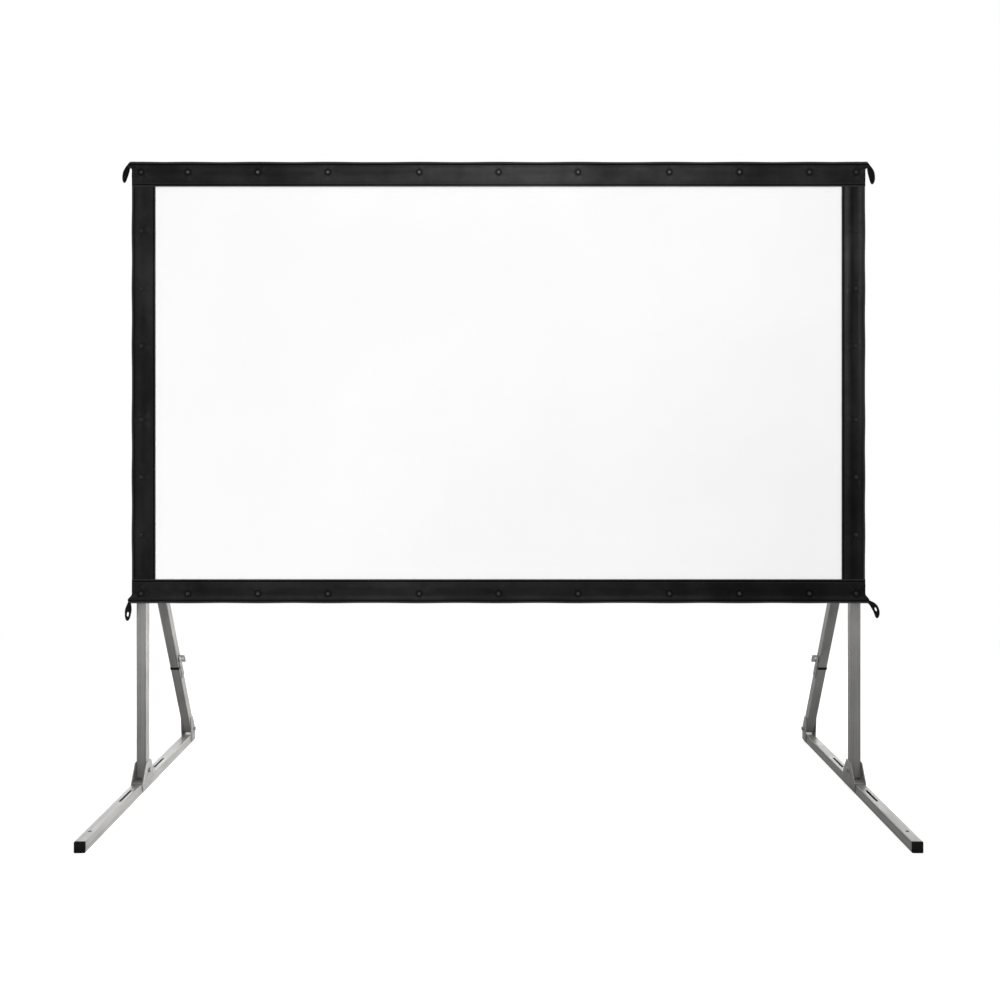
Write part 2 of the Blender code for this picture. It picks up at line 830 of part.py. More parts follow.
def loop_list():
    """The four corner loops as they hang. The one at the top left is turned most."""
    root_x = cloth_half + corner_reach - loop_root_inset
    top_z = cloth_high_z - loop_root_half_width
    low_z = cloth_low_z + loop_root_half_width
    return [WebbingLoop("corner_loop_top_left", (-root_x, top_z), 240, 25, short_loop_length,
                        turned_belly_half_width),
            WebbingLoop("corner_loop_top_right", (root_x, top_z), -64, -30, long_loop_length,
                        part_turned_belly_half_width),
            WebbingLoop("corner_loop_bottom_left", (-root_x, low_z), 258, 10, short_loop_length,
                        flat_belly_half_width),
            WebbingLoop("corner_loop_bottom_right", (root_x, low_z), -21, -80, long_loop_length,
                        flat_belly_half_width)]


def build_loops():
    """Webbing loops that start behind the border's pulled-out corners."""
    front = border_back_y + contact_gap
    for loop in loop_list():
        bm = bmesh.new()
        outline = [(z, x) for x, z in loop.outline()]
        add_solid(bm, outline, frame_along("y"), front, front + loop_thickness)
        made = piece(loop.name, bm, black_cloth())
        eye = bmesh.new()
        outline = [(z, x) for x, z in loop.eye()]
        add_solid(eye, outline, frame_along("y"), front - cut_overrun,
                  front + loop_thickness + cut_overrun)
        combine(made, tool(f"{loop.name}_eye", eye), "DIFFERENCE")


def add_cross_pin(bm, place, radius, head_radius, head_height):
    """A pin across a leg from plate to plate, with a round head outside each plate."""
    frame = frame_along("x", place)
    rim = bracket_outer - plate / 2
    head = bracket_outer + head_height
    add_cylinder(bm, radius, frame, -rim, rim)
    return (frame, rim, head, head_radius)


def add_pin_heads(bm, heads):
    frame, rim, head, head_radius = heads
    add_cylinder(bm, head_radius, frame, rim, head)
    add_cylinder(bm, head_radius, frame, -head, -rim)


def add_cheeks(bm, outline, x):
    """The same outline in YZ as a plate on both sides of a leg."""
    frame = frame_along("x", (x, 0, 0))
    add_solid(bm, outline, frame, bracket_inner, bracket_outer)
    add_solid(bm, outline, frame, -bracket_outer, -bracket_inner)


def build_bracket(name, x, cheek_outline, web_low, web_high, pin_place, pin_size, head_size,
                  carrier=None, origin=(0, 0, 0)):
    """Two cheeks joined by a web, with a headed pin across them, as one piece."""
    bm = bmesh.new()
    add_box(bm, (x - bracket_outer + plate / 4, web_low[0], web_low[1]),
            (x + bracket_outer - plate / 4, web_high[0], web_high[1]))
    bracket = piece(name, bm, zinc(), origin, carrier)
    cheeks = bmesh.new()
    add_cheeks(cheeks, cheek_outline, x)
    combine(bracket, tool(f"{name}_cheeks", cheeks), "UNION")
    pin = bmesh.new()
    heads = add_cross_pin(pin, pin_place, pin_size, head_size, pivot_head_height)
    combine(bracket, tool(f"{name}_pin", pin), "UNION")
    caps = bmesh.new()
    add_pin_heads(caps, heads)
    combine(bracket, tool(f"{name}_pin_heads", caps), "UNION")
    return bracket


def cross_hole_tool(name, place, radius):
    bm = bmesh.new()
    reach = leg_half + cut_overrun
    add_cylinder(bm, radius, frame_along("x", place), -reach, reach)
    return tool(name, bm)


def build_post(side, x):
    """The upright tube behind the frame, and its top cap."""
    outer, inner = leg_outlines()
    bottom = foot_pivot_z - post_end_below_pivot
    bm = bmesh.new()
    add_tube(bm, outer, inner, frame_along("z", (x, 0, 0)), bottom, post_top_z)
    post = piece(f"leg_post_{side}", bm, aluminium())
    combine(post, cross_hole_tool(f"post_pivot_hole_{side}", (x, 0, foot_pivot_z),
                                  pivot_hole_radius), "DIFFERENCE")
    holes = bmesh.new()
    reach = leg_half + cut_overrun
    for z in (lower_screw_z, upper_screw_z):
        add_cylinder(holes, screw_shank_radius + contact_gap, frame_along("y", (x, 0, z)),
                     -reach, reach)
    combine(post, tool(f"post_screw_holes_{side}", holes), "DIFFERENCE")
    bm = bmesh.new()
    top = post_top_z + contact_gap
    add_solid(bm, outer, frame_along("z", (x, 0, 0)), top, top + post_cap_flange)
    cap = piece(f"leg_post_cap_{side}", bm, black_plastic())
    plug = bmesh.new()
    add_solid(plug, plug_outline(), frame_along("z", (x, 0, 0)), post_top_z - plug_length,
              top + post_cap_flange / 2)
    combine(cap, tool(f"post_plug_{side}", plug), "UNION")


def build_foot(side, x, carrier):
    """The foot tube with its slots and stake hole, its cap and its two brackets."""
    outer, inner = leg_outlines()
    pivot = carrier.location
    front = -foot_half_length + foot_cap_flange
    rear = foot_half_length - plate - contact_gap
    frame = frame_along("y", (x, 0, leg_half))
    bm = bmesh.new()
    add_tube(bm, outer, inner, frame, front + contact_gap, rear)
    foot = piece(f"foot_tube_{side}", bm, aluminium(), pivot, carrier)
    cuts = bmesh.new()
    slot_middle = slot_from_post + slot_length / 2
    for y in (-slot_middle, slot_middle):
        add_solid(cuts, slot_outline(slot_length, slot_width), frame_along("z", (x, y, 0)),
                  leg_size - leg_wall - cut_overrun, leg_size + cut_overrun)
    stake_y = -foot_half_length + stake_hole_from_end
    add_cylinder(cuts, stake_hole_radius, frame_along("z", (x, stake_y, 0)), -cut_overrun,
                 leg_size + cut_overrun)
    combine(foot, tool(f"foot_cuts_{side}", cuts), "DIFFERENCE")
    bm = bmesh.new()
    add_solid(bm, outer, frame, -foot_half_length, front)
    cap = piece(f"foot_cap_{side}", bm, black_plastic(), pivot, carrier)
    plug = bmesh.new()
    add_solid(plug, plug_outline(), frame, front - foot_cap_flange / 2, front + plug_length)
    combine(cap, tool(f"foot_plug_{side}", plug), "UNION")
    web_bottom = leg_size + contact_gap
    cheek = [(-saddle_foot_half_length, saddle_bottom_z), (saddle_foot_half_length, saddle_bottom_z),
             (saddle_foot_half_length, saddle_shoulder_z), (saddle_top_half_length, saddle_top_z),
             (-saddle_top_half_length, saddle_top_z), (-saddle_foot_half_length, saddle_shoulder_z)]
    build_bracket(f"foot_saddle_{side}", x, cheek, (-saddle_foot_half_length, web_bottom),
                  (saddle_foot_half_length, web_bottom + plate), (x, 0, foot_pivot_z),
                  pivot_pin_radius, pivot_head_radius, carrier, pivot)
    lean = brace_up.y / brace_up.z
    top_y = brace_foot.y + (foot_bracket_top_z - brace_foot.z) * lean
    cheek = [(foot_half_length - foot_bracket_lap, foot_bracket_bottom_z),
             (foot_half_length, foot_bracket_bottom_z),
             (foot_half_length, foot_bracket_shoulder_z),
             (brace_foot.y + foot_bracket_half_width, brace_foot.z),
             (top_y + foot_bracket_half_width, foot_bracket_top_z),
             (top_y - foot_bracket_half_width / 2, foot_bracket_top_z),
             (foot_half_length - foot_bracket_lap, foot_bracket_shoulder_z)]
    build_bracket(f"brace_foot_bracket_{side}", x, cheek,
                  (foot_half_length - plate, foot_bracket_bottom_z),
                  (foot_half_length, foot_bracket_shoulder_z),
                  Vector((x, 0, 0)) + brace_foot, brace_pin_radius, brace_head_radius,
                  carrier, pivot)


def build_top_bracket(side, x):
    """The ears behind the post that hold the brace's upper end."""
    low = brace_top.z - top_bracket_drop
    high = brace_top.z + top_bracket_rise
    lap_y = leg_half - top_bracket_lap
    reach_y = brace_top.y + top_bracket_reach
    web_z = brace_top.z + top_bracket_web_rise
    cheek = [(lap_y, low), (brace_top.y, low), (reach_y, brace_top.z), (brace_top.y, web_z),
             (bracket_outer, high), (lap_y, high)]
    build_bracket(f"brace_top_bracket_{side}", x, cheek, (bracket_inner, web_z),
                  (bracket_outer, high), Vector((x, 0, 0)) + brace_top, brace_pin_radius,
                  brace_head_radius)


def round_end_tool(name, centre, along):
    """What is kept of a brace tube: a round end about a pin, wide open past it."""
    frame = frame_between(centre, (1, 0, 0), along)
    radius = leg_half - brace_round_gap
    wide = leg_half + cut_overrun
    far = (brace_top - brace_foot).length
    outline = [(far, wide), (cut_overrun, wide)]
    for i in range(round_end_steps + 1):
        angle = math.pi / 2 + math.pi * i / round_end_steps
        outline.append((radius * math.cos(angle), radius * math.sin(angle)))
    outline += [(cut_overrun, -wide), (far, -wide)]
    bm = bmesh.new()
    rings = [[frame @ Vector((across, v, w)) for w, v in outline] for across in (-wide, wide)]
    add_rings(bm, rings, False)
    return tool(name, bm)


def build_upper_brace(side, x, inner_way):
    """The brace's upper tube, turning about its pin behind the post."""
    outer, inner = leg_outlines()
    pivot = Vector((x, 0, 0)) + brace_top
    down = -brace_up
    length = (brace_top - brace_joint).length - brace_joint_gap / 2
    bm = bmesh.new()
    add_tube(bm, outer, inner, frame_between(pivot, (1, 0, 0), down), -leg_size, length)
    brace = piece(f"brace_upper_{side}", bm, aluminium(), pivot)
    combine(brace, round_end_tool(f"upper_brace_round_{side}", pivot, down), "INTERSECT")
    combine(brace, cross_hole_tool(f"upper_brace_hole_{side}", pivot, brace_hole_radius),
            "DIFFERENCE")
    hole = bmesh.new()
    stem = Vector((x, 0, 0)) + brace_joint + brace_up * knob_above_joint
    add_cylinder(hole, knob_stem_radius + contact_gap, frame_along("x", stem),
                 inner_way * leg_half / 2, inner_way * (leg_half + cut_overrun))
    combine(brace, tool(f"knob_hole_{side}", hole), "DIFFERENCE")


def build_lower_brace(side, x, inner_way):
    """The brace's lower tube with the lock plate that laps the upper tube's inner side."""
    outer, inner = leg_outlines()
    pivot = Vector((x, 0, 0)) + brace_foot
    length = lower_brace_length - brace_joint_gap / 2
    bm = bmesh.new()
    add_tube(bm, outer, inner, frame_between(pivot, (1, 0, 0), brace_up), -leg_size, length)
    brace = piece(f"brace_lower_{side}", bm, aluminium(), pivot)
    combine(brace, round_end_tool(f"lower_brace_round_{side}", pivot, brace_up), "INTERSECT")
    combine(brace, cross_hole_tool(f"lower_brace_hole_{side}", pivot, brace_hole_radius),
            "DIFFERENCE")
    joint = Vector((x, 0, 0)) + brace_joint
    rivets = bmesh.new()
    for i in range(2):
        place = joint - brace_up * (lock_plate_below - lock_rivet_spacing / 2
                                    - lock_rivet_spacing * i)
        add_cylinder(rivets, lock_rivet_radius, frame_along("x", place),
                     inner_way * (leg_half - leg_wall / 2),
                     inner_way * (bracket_outer + lock_rivet_head), snap_sides)
    combine(brace, tool(f"lock_rivets_{side}", rivets), "UNION")
    lock = bmesh.new()
    frame = frame_between(joint, (1, 0, 0), brace_up)
    low = min(inner_way * bracket_inner, inner_way * bracket_outer)
    outline = [(low, -lock_plate_width / 2), (low + plate, -lock_plate_width / 2),
               (low + plate, lock_plate_width / 2), (low, lock_plate_width / 2)]
    add_solid(lock, outline, frame, -lock_plate_below, lock_plate_above)
    combine(brace, tool(f"lock_plate_{side}", lock), "UNION")


def build_brace_knob(side, x, inner_way):
    """A wing knob above the brace's joint. Its flange clamps the lock plate."""
    place = Vector((x, 0, 0)) + brace_joint + brace_up * knob_above_joint
    frame = frame_between(place, (inner_way, 0, 0), brace_up)
    frame = frame @ Matrix.Rotation(math.pi / 2, 4, "Y")
    seat = bracket_outer + contact_gap
    top = seat + knob_flange_thickness
    bm = bmesh.new()
    add_cylinder(bm, knob_stem_radius, frame, leg_half - knob_stem_inside, top)
    knob = piece(f"brace_knob_{side}", bm, zinc(), place)
    flange = bmesh.new()
    add_cylinder(flange, knob_flange_radius, frame, seat, top)
    combine(knob, tool(f"knob_flange_{side}", flange), "UNION")
    hub = bmesh.new()
    add_cylinder(hub, knob_hub_radius, frame, seat + knob_flange_thickness / 2,
                 top + knob_hub_height)
    combine(knob, tool(f"knob_hub_{side}", hub), "UNION")
    wing = bmesh.new()
    outline = rounded_rectangle(knob_wing_length, knob_wing_thickness, knob_wing_thickness / 3)
    add_solid(wing, outline, frame, top + fold_gap, top + knob_wing_height)
    combine(knob, tool(f"knob_wing_{side}", wing), "UNION")


def build_leg_screw(name, x, z):
    """A hand screw through the post into the frame's side tube."""
    place = (x, 0, z)
    frame = frame_along("y", place)
    seat = leg_half + contact_gap
    bm = bmesh.new()
    add_cylinder(bm, screw_shank_radius, frame, rail_back_y - rail_wall - screw_shank_past_rail,
                 seat + screw_flange_thickness)
    screw = piece(name, bm, black_plastic(), place)
    flange = bmesh.new()
    top = seat + screw_flange_thickness
    add_cylinder(flange, screw_flange_radius, frame, seat, top)
    combine(screw, tool(f"{name}_flange", flange), "UNION")
    grip = bmesh.new()
    outline = lobed_circle(screw_knob_radius, screw_knob_lobe, screw_lobes, points_per_lobe)
    add_solid(grip, outline, frame, seat + screw_flange_thickness / 2, top + screw_knob_height)
    combine(screw, tool(f"{name}_grip", grip), "UNION")


def build_leg(side, way):
    x = way * leg_x
    carrier = pivot_empty(f"foot_pivot_{side}", (x, 0, foot_pivot_z))
    build_post(side, x)
    build_foot(side, x, carrier)
    build_top_bracket(side, x)
    build_upper_brace(side, x, -way)
    build_lower_brace(side, x, -way)
    build_brace_knob(side, x, -way)
    build_leg_screw(f"leg_screw_lower_{side}", x, lower_screw_z)
    build_leg_screw(f"leg_screw_upper_{side}", x, upper_screw_z)


def main():
    for old in list(bpy.data.objects):
        bpy.data.objects.remove(old, do_unlink=True)
    build_rails()
    build_elbows()
    build_fold_hinges()
    build_fold_latches()
    build_sheet()
    build_border()
    build_loops()
    for side, way in (("left", -1), ("right", 1)):
        build_leg(side, way)


main()
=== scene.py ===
"""Outdoor projection screen: cloth, snaps, webbing, metal finishes and a plain studio."""

import json
import math

import bpy
from bpy.props import FloatProperty, FloatVectorProperty, PointerProperty
from mathutils import Matrix, Vector, noise

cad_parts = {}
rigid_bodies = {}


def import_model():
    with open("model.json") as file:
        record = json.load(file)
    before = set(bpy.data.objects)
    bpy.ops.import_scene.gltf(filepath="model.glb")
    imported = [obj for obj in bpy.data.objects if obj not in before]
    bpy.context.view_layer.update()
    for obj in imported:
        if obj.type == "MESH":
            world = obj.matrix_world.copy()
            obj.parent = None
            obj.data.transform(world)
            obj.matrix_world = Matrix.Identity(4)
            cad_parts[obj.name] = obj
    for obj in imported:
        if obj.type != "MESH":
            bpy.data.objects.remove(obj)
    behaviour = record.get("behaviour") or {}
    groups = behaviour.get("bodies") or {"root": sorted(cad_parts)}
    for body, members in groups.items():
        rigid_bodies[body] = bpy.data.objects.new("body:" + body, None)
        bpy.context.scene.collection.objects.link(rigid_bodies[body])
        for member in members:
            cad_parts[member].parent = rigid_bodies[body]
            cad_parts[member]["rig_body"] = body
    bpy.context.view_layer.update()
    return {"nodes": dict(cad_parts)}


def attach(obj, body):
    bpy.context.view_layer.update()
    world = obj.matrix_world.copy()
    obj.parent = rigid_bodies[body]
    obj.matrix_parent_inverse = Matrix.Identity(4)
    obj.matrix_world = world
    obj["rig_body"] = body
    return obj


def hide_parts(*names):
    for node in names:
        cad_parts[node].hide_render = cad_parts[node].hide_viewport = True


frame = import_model()
NODES = frame["nodes"]
ROOT = "screen_frame"
SIDES = {"left": -1, "right": 1}

bl_info = {
    "name": "Outdoor projection screen",
    "version": (1, 0, 0),
    "blender": (4, 5, 0),
    "location": "3D View > Sidebar > Screen",
    "description": "Dresses the packed projection screen with cloth, snaps, webbing and metal",
    "category": "Object",
}

# Lines of the cloth, in metres in the CAD frame
CLOTH_HALF_WIDTH = 1.183
CLOTH_LOW = 0.618
CLOTH_HIGH = 2.037
CLOTH_MID = (CLOTH_LOW + CLOTH_HIGH) / 2
BAND_WIDTH = 0.076
SIDE_BAND_HALF = (CLOTH_HIGH - CLOTH_LOW) / 2 - BAND_WIDTH
BAND_FRONT = -0.0555
BAND_BACK = -0.0543
SHEET_HALF = (1.129, 0.6555)
SHEET_FRONT = -0.0540
SHEET_QUADS = (170, 100)
SHEET_PULL = 0.0006
SHEET_SAG = 0.0007
LOOP_MIDDLE_Y = -0.0532

# Snaps: distance in from the edge, and places along the bands from their middles
SNAP_INSET = 0.030
SNAP_X = (0.0, 0.2560, 0.5506, 0.7765, 1.0024, 1.153)
SNAP_RISE = (0.119, 0.304, 0.490)
CAP_RADIUS = 0.0068
CAP_DEPTH = 0.0012
CAP_LIFT = 0.0010
# Turned steps of a cap and hollow of a socket: inset, then move along Y
CAP_STEPS = ((0.0011, -0.0004), (0.0013, 0.0003), (0.0004, -0.0011),
             (0.0016, -0.0005), (0.0013, -0.0001))
CAP_BEVEL = 0.00025
CROWN_RADIUS = 0.0040
SOCKET_RADIUS = 0.0050
SOCKET_LIFT = 0.0007
SOCKET_STEPS = ((0.0014, -0.0005),)

# Lines of the legs
POST_X = 1.167
TUBE_SIDE = 0.032
FOOT_PIVOT = (0.0, 0.0605)
BRACE_FOOT = (0.479, 0.049)
BRACE_TOP = (0.033, 0.890)
BRACE_CUT = (0.33353, 0.32331)
BRACE_UP = (-0.4685, 0.8835)
SLEEVE_DEPTH = 0.0036
SLEEVE_BEVEL = 0.0003
PIN_HEAD_OUT = 0.0218
# Washer and nut of a pin: sides, radius over the nut's, depth, place along the pin
WASHER = (32, 0.0006, 0.0008, 0.0004)
NUT = (6, 0.0, 0.0038, 0.0026)
NUT_STEPS = ((0.0016, 0.0007), (0.0012, -0.0009))
NUT_BEVEL = 0.0004

# Border bands: middle of the outer edge, the way a band runs, the way inwards, half its
# length and how far up its ends the pulled-out corner reaches
BANDS = {
    "top": ((0.0, CLOTH_HIGH), (1, 0), (0, -1), CLOTH_HALF_WIDTH, 0.0215),
    "bottom": ((0.0, CLOTH_LOW), (-1, 0), (0, 1), CLOTH_HALF_WIDTH, 0.029),
    "left": ((-CLOTH_HALF_WIDTH, CLOTH_MID), (0, 1), (1, 0), SIDE_BAND_HALF, 0.0),
    "right": ((CLOTH_HALF_WIDTH, CLOTH_MID), (0, -1), (-1, 0), SIDE_BAND_HALF, 0.0),
}
# Corners: how far they reach out, how long they run along the band and where the tip bends
CORNER_REACH = 0.0145
CORNER_RUN = 0.055
CORNER_TIP = 0.0120
CORNER_LIP = {"top": 0.0140, "bottom": 0.0080}
EDGE_SWELL = {"top": 0.0040, "bottom": 0.0015, "left": 0.0008, "right": 0.0}
EDGE_DEPTH = 0.030
# How far from a snap the edge is drawn in fully
SCALLOP_RUN = {"top": 0.12, "bottom": 0.12, "left": 0.09, "right": 0.09}
BAND_ROWS = (0.0, 0.0010, 0.0032, 0.0046, 0.0058, 0.0070, 0.0082, 0.0095, 0.0120, 0.0150,
             0.0172, 0.0190, 0.0206, 0.0220, 0.0234, 0.0248, 0.0262, 0.0280, 0.0300, 0.0320,
             0.0338, 0.0352, 0.0366, 0.0380, 0.0394, 0.0410, 0.0430, 0.0460, 0.0500, 0.0540,
             0.0580, 0.0620, 0.0642, 0.0660, 0.0676, 0.0692, 0.0708, 0.0722, 0.0740, 0.0760)
# Turned edges, by distance in from the outer edge
HEM_FOOT = 0.0078
HEM_TOP = 0.0052
INNER_HEM_RISE = (0.0630, 0.0660)
INNER_HEM_FALL = (0.0760, 0.0725)
INNER_FLAT_END = 0.0690
# Painted fold light: where it starts and ends across the band
FOLD_LIGHT_START = (0.0078, 0.0115)
FOLD_LIGHT_END = (0.0668, 0.064)
STITCH_ROWS = (0.0046, 0.0655)
STITCH_HALF = 0.0005
STITCH_PITCH = 0.0036
# Painted shade lines in the creases beside the turned edges
CREASE_SHADE_ROWS = (0.0074, 0.0694)
CREASE_SHADE_HALF = 0.0026
# Painted highlight along the turned outer and inner edges
HIGHLIGHT_OUTER_EDGE = (0.0042, 0.0058)
HIGHLIGHT_INNER_EDGE = (0.0722, 0.0735)
# Long soft folds: distance from the edge, half width, share of the side fold height
FOLDS = {
    "top": ((0.020, 0.006, 0.35), (0.052, 0.010, 0.45)),
    "bottom": ((0.017, 0.006, 0.70), (0.060, 0.009, 0.45)),
    "left": ((0.020, 0.008, 0.45), (0.056, 0.009, 0.60)),
    "right": ((0.014, 0.009, 1.05), (0.061, 0.009, 1.05)),
}
FOLD_WANDER = 0.006
# Painted fold light: its level on flat cloth, and the rise at which it is full
FLAT_FOLD_LIGHT = 0.38
FULL_FOLD_LIGHT_RISE = 0.0026
RIPPLE_HEIGHT = 0.0007
# Puckers round a snap: where they start beside the cap and how far they reach
PUCKER_START = (0.007, 0.017)
PUCKER_REACH = 0.036
# Pulled creases at the corners: height, pitch and reach
CORNER_CREASE = (0.0014, 0.0042, 0.052)
# Painted shade ring round a snap, where the cloth dimples: distance, half width and depth
SNAP_SHADE_RING = (0.0083, 0.0038, 0.62)
# Painted light and shade along a band: level at its start and end, a lighter middle (place, half
# width, gain) and fold light stripes (distance from the edge, half width, gain at start and end)
BAND_PAINTED_LIGHT = {
    "top": ((0.75, 0.78), (0.12, 0.52, 1.70), ()),
    "bottom": ((0.42, 0.80), (0.0, 0.55, 0.20), ((0.016, 0.006, 0.30, 0.35),)),
    "left": ((0.72, 1.06), (0.0, 1.0, 0.0), ()),
    "right": ((0.95, 0.45), (0.0, 1.0, 0.0), ((0.061, 0.009, 1.15, 0.10),
                                               (0.043, 0.006, -0.40, -0.10),
                                               (0.013, 0.009, 1.10, 0.15))),
}
DARKEST_TONE = 0.15
# Depth of the painted shade in the crease beside the outer and the inner turned edge
CREASE_SHADE_DEPTH = {"top": (1.0, 0.75), "bottom": (0.9, 1.0), "left": (0.9, 0.85), "right": (0.35, 0.9)}

# Area lamps: name, place, aim, size, power and spread in degrees
LAMPS = (
    ("right_lamp", (14.0, 2.1, 1.3), (0, 0.1, 0.4), (3.0, 2.2), 1600, 180),
    ("between_lamp", (0.9, 0.5, 0.35), (-1.167, 0.0, 0.05), (0.6, 0.4), 6.5, 50),
    ("back_lamp", (0.0, 6.5, 2.4), (0, 0, 0.2), (11.0, 1.6), 290, 180),
    ("top_lamp", (0.2, 0.2, 4.6), (0, 0.1, 0.0), (4.0, 3.0), 110, 180),
    ("front_lamp", (0.2, -5.2, 1.9), (0, 0, 1.3), (2.6, 2.2), 85, 180),
    ("left_low_lamp", (-1.7, -2.4, 0.6), (-1.167, 0, 0.35), (0.8, 0.6), 9, 180),
)
CAMERA_SHIFT = (0.0014, -0.076)
FLOOR_GREY = 0.46
FLOOR_GLOW = 0.66
FLOOR_FADE = (1.6, 3.6)
WORLD_LEAN = (0.42, -0.14, 0.0)
WORLD_LEVEL = 0.60


def length(name, description, default):
    """A size in metres that a user may change."""
    return FloatProperty(name=name, description=description, default=default, unit="LENGTH")


def tint(name, description, default):
    """A colour that a user may change."""
    return FloatVectorProperty(name=name, description=description, default=default,
                               subtype="COLOR", size=3)


class ClothSettings(bpy.types.PropertyGroup):
    """Sizes and colours of the screen cloth, its border and its webbing."""

    sheet_thickness: length("Sheet thickness", "Thickness of the white cloth", 0.0009)
    band_thickness: length("Border thickness", "Thickness of the black border", 0.0011)
    hem_rise: length("Hem rise", "How far the turned edge stands proud", 0.0008)
    pucker_height: length("Pucker height", "Height of the folds round a snap", 0.0014)
    edge_scallop: length("Edge scallop", "How far the edge draws in between two snaps", 0.0011)
    side_fold_height: length("Side fold height", "Height of the bands' long soft folds", 0.0022)
    tape_thickness: length("Webbing thickness", "Thickness of the corner loops", 0.0022)
    white_colour: tint("Screen colour", "Colour of the projection cloth", (0.90, 0.90, 0.90))
    black_colour: tint("Border colour", "Colour of the border cloth", (0.0165, 0.0165, 0.0166))
    webbing_colour: tint("Webbing colour", "Colour of the corner loops",
                         (0.0030, 0.0030, 0.0031))


class MetalSettings(bpy.types.PropertyGroup):
    """Edges and colours of the tubes, the fittings and the moulded parts."""

    edge_bevel: length("Edge bevel", "Width of the broken edges of the fittings", 0.0005)
    sleeve_height: length("Sleeve height", "Height of the black sleeve at a cut", 0.0070)
    sleeve_wall: length("Sleeve wall", "How far the sleeve stands off the tube", 0.0007)
    nut_radius: length("Nut radius", "Radius of the pin nuts over their corners", 0.0068)
    aluminium_colour: tint("Aluminium colour", "Colour of the drawn tubes",
                           (0.176, 0.174, 0.166))
    steel_colour: tint("Steel colour", "Colour of the zinc-plated fittings",
                       (0.168, 0.166, 0.160))
    plastic_colour: tint("Plastic colour", "Colour of caps, sleeves and knobs",
                         (0.0016, 0.0016, 0.0018))


class StageSettings(bpy.types.PropertyGroup):
    """Camera, floor and lamps."""

    camera_distance: length("Camera distance", "From the camera to the posts' plane", 3.2555)
    camera_height: length("Camera height", "Height of the camera above the floor", 1.195)
    camera_lens: FloatProperty(
        name="Focal length", description="Focal length on a 36 mm wide sensor",
        default=35.71, unit="CAMERA")
    floor_size: length("Floor size", "Side of the square floor", 24.0)
    lamp_scale: FloatProperty(
        name="Lamp scale", description="Level of all the lamps together",
        default=1.0, subtype="FACTOR")


def deselect_all():
    """Leaves edit mode and deselects every object."""
    if bpy.context.mode != "OBJECT":
        bpy.ops.object.mode_set(mode="OBJECT")
    bpy.ops.object.select_all(action="DESELECT")


def pick(piece):
    """Makes one object the only selected one."""
    deselect_all()
    piece.select_set(True)
    bpy.context.view_layer.objects.active = piece


def add_object(name, data):
    """Puts an object with its data into the scene."""
    made = bpy.data.objects.new(name, data)
    bpy.context.scene.collection.objects.link(made)
    return made


def call(piece, name):
    """Gives a piece and its mesh one name."""
    piece.name = name
    piece.data.name = name
    return piece


def bake_place(piece):
    """Puts an object's place into its mesh."""
    pick(piece)
    bpy.ops.object.transform_apply(location=True, rotation=True, scale=True)
    return piece


def edit_whole(piece, *steps):
    """Runs some steps in edit mode with all of a piece selected."""
    pick(piece)
    bpy.ops.object.mode_set(mode="EDIT")
    bpy.ops.mesh.select_all(action="SELECT")
    for step in steps:
        step()
    bpy.ops.object.mode_set(mode="OBJECT")


def apply_modifier(piece, kind, **values):
    """Adds one modifier, sets it and applies it."""
    pick(piece)
    modifier = piece.modifiers.new("shape", kind)
    for key, value in values.items():
        setattr(modifier, key, value)
    bpy.ops.object.modifier_apply(modifier=modifier.name)


def break_edges(piece, width, degrees, clamp=True):
    """Bevels the edges that are sharper than an angle."""
    apply_modifier(piece, "BEVEL", width=width, segments=2, limit_method="ANGLE",
                   angle_limit=math.radians(degrees), use_clamp_overlap=clamp)


def soften(piece, degrees=35):
    """Smooth shading with hard edges kept."""
    pick(piece)
    bpy.ops.object.shade_smooth_by_angle(angle=math.radians(degrees))


def select_faces(piece, test):
    """Opens edit mode with the faces selected whose centre and normal pass a test."""
    deselect_all()
    mesh = piece.data
    chosen = [face for face in mesh.polygons if test(face.center, face.normal)]
    for part in (mesh.vertices, mesh.edges, mesh.polygons):
        part.foreach_set("select", [False] * len(part))
    for face in chosen:
        face.select = True
        for index in face.vertices:
            mesh.vertices[index].select = True
    pick(piece)
    bpy.ops.object.mode_set(mode="EDIT")
    bpy.ops.mesh.select_mode(type="FACE")


def turned_disc(sides, radius, depth, turn, place=(0, 0, 0)):
    """A short cylinder with its turn and place in its mesh."""
    deselect_all()
    bpy.ops.mesh.primitive_cylinder_add(vertices=sides, radius=radius, depth=depth,
                                        rotation=turn, location=place)
    return bake_place(bpy.context.object)


def turn_steps(piece, axis, way, steps):
    """Turns steps into a disc's end: each is inset, then moved along the axis."""
    select_faces(piece, lambda centre, normal: normal[axis] * way > 0.9)
    for width, move in steps:
        bpy.ops.mesh.inset(thickness=width)
        bpy.ops.transform.translate(value=[move * (index == axis) for index in range(3)])
    bpy.ops.object.mode_set(mode="OBJECT")


def cloth_grid(name, columns, rows):
    """A grid of quads one unit wide, to be bent into a cloth or a tape."""
    deselect_all()
    bpy.ops.mesh.primitive_grid_add(x_subdivisions=columns, y_subdivisions=rows, size=1)
    return call(bpy.context.object, name)


def lay_pattern(piece, places):
    """Writes each vertex's place on the flat cloth, in metres, into the UV map."""
    uv = piece.data.uv_layers.active.data
    for corner in piece.data.loops:
        uv[corner.index].uv = places[corner.vertex_index]


def thicken(piece, thickness, **values):
    """Turns a cloth's face to the front and gives it its thickness behind."""
    piece.data.update()
    if piece.data.polygons[0].normal.y > 0:
        edit_whole(piece, bpy.ops.mesh.flip_normals)
    apply_modifier(piece, "SOLIDIFY", thickness=thickness, offset=-1.0, **values)
    soften(piece, 60)


def join(pieces, name):
    """Joins several objects into the first one."""
    deselect_all()
    for piece in pieces:
        piece.select_set(True)
    bpy.context.view_layer.objects.active = pieces[0]
    if len(pieces) > 1:
        bpy.ops.object.join()
    return call(pieces[0], name)


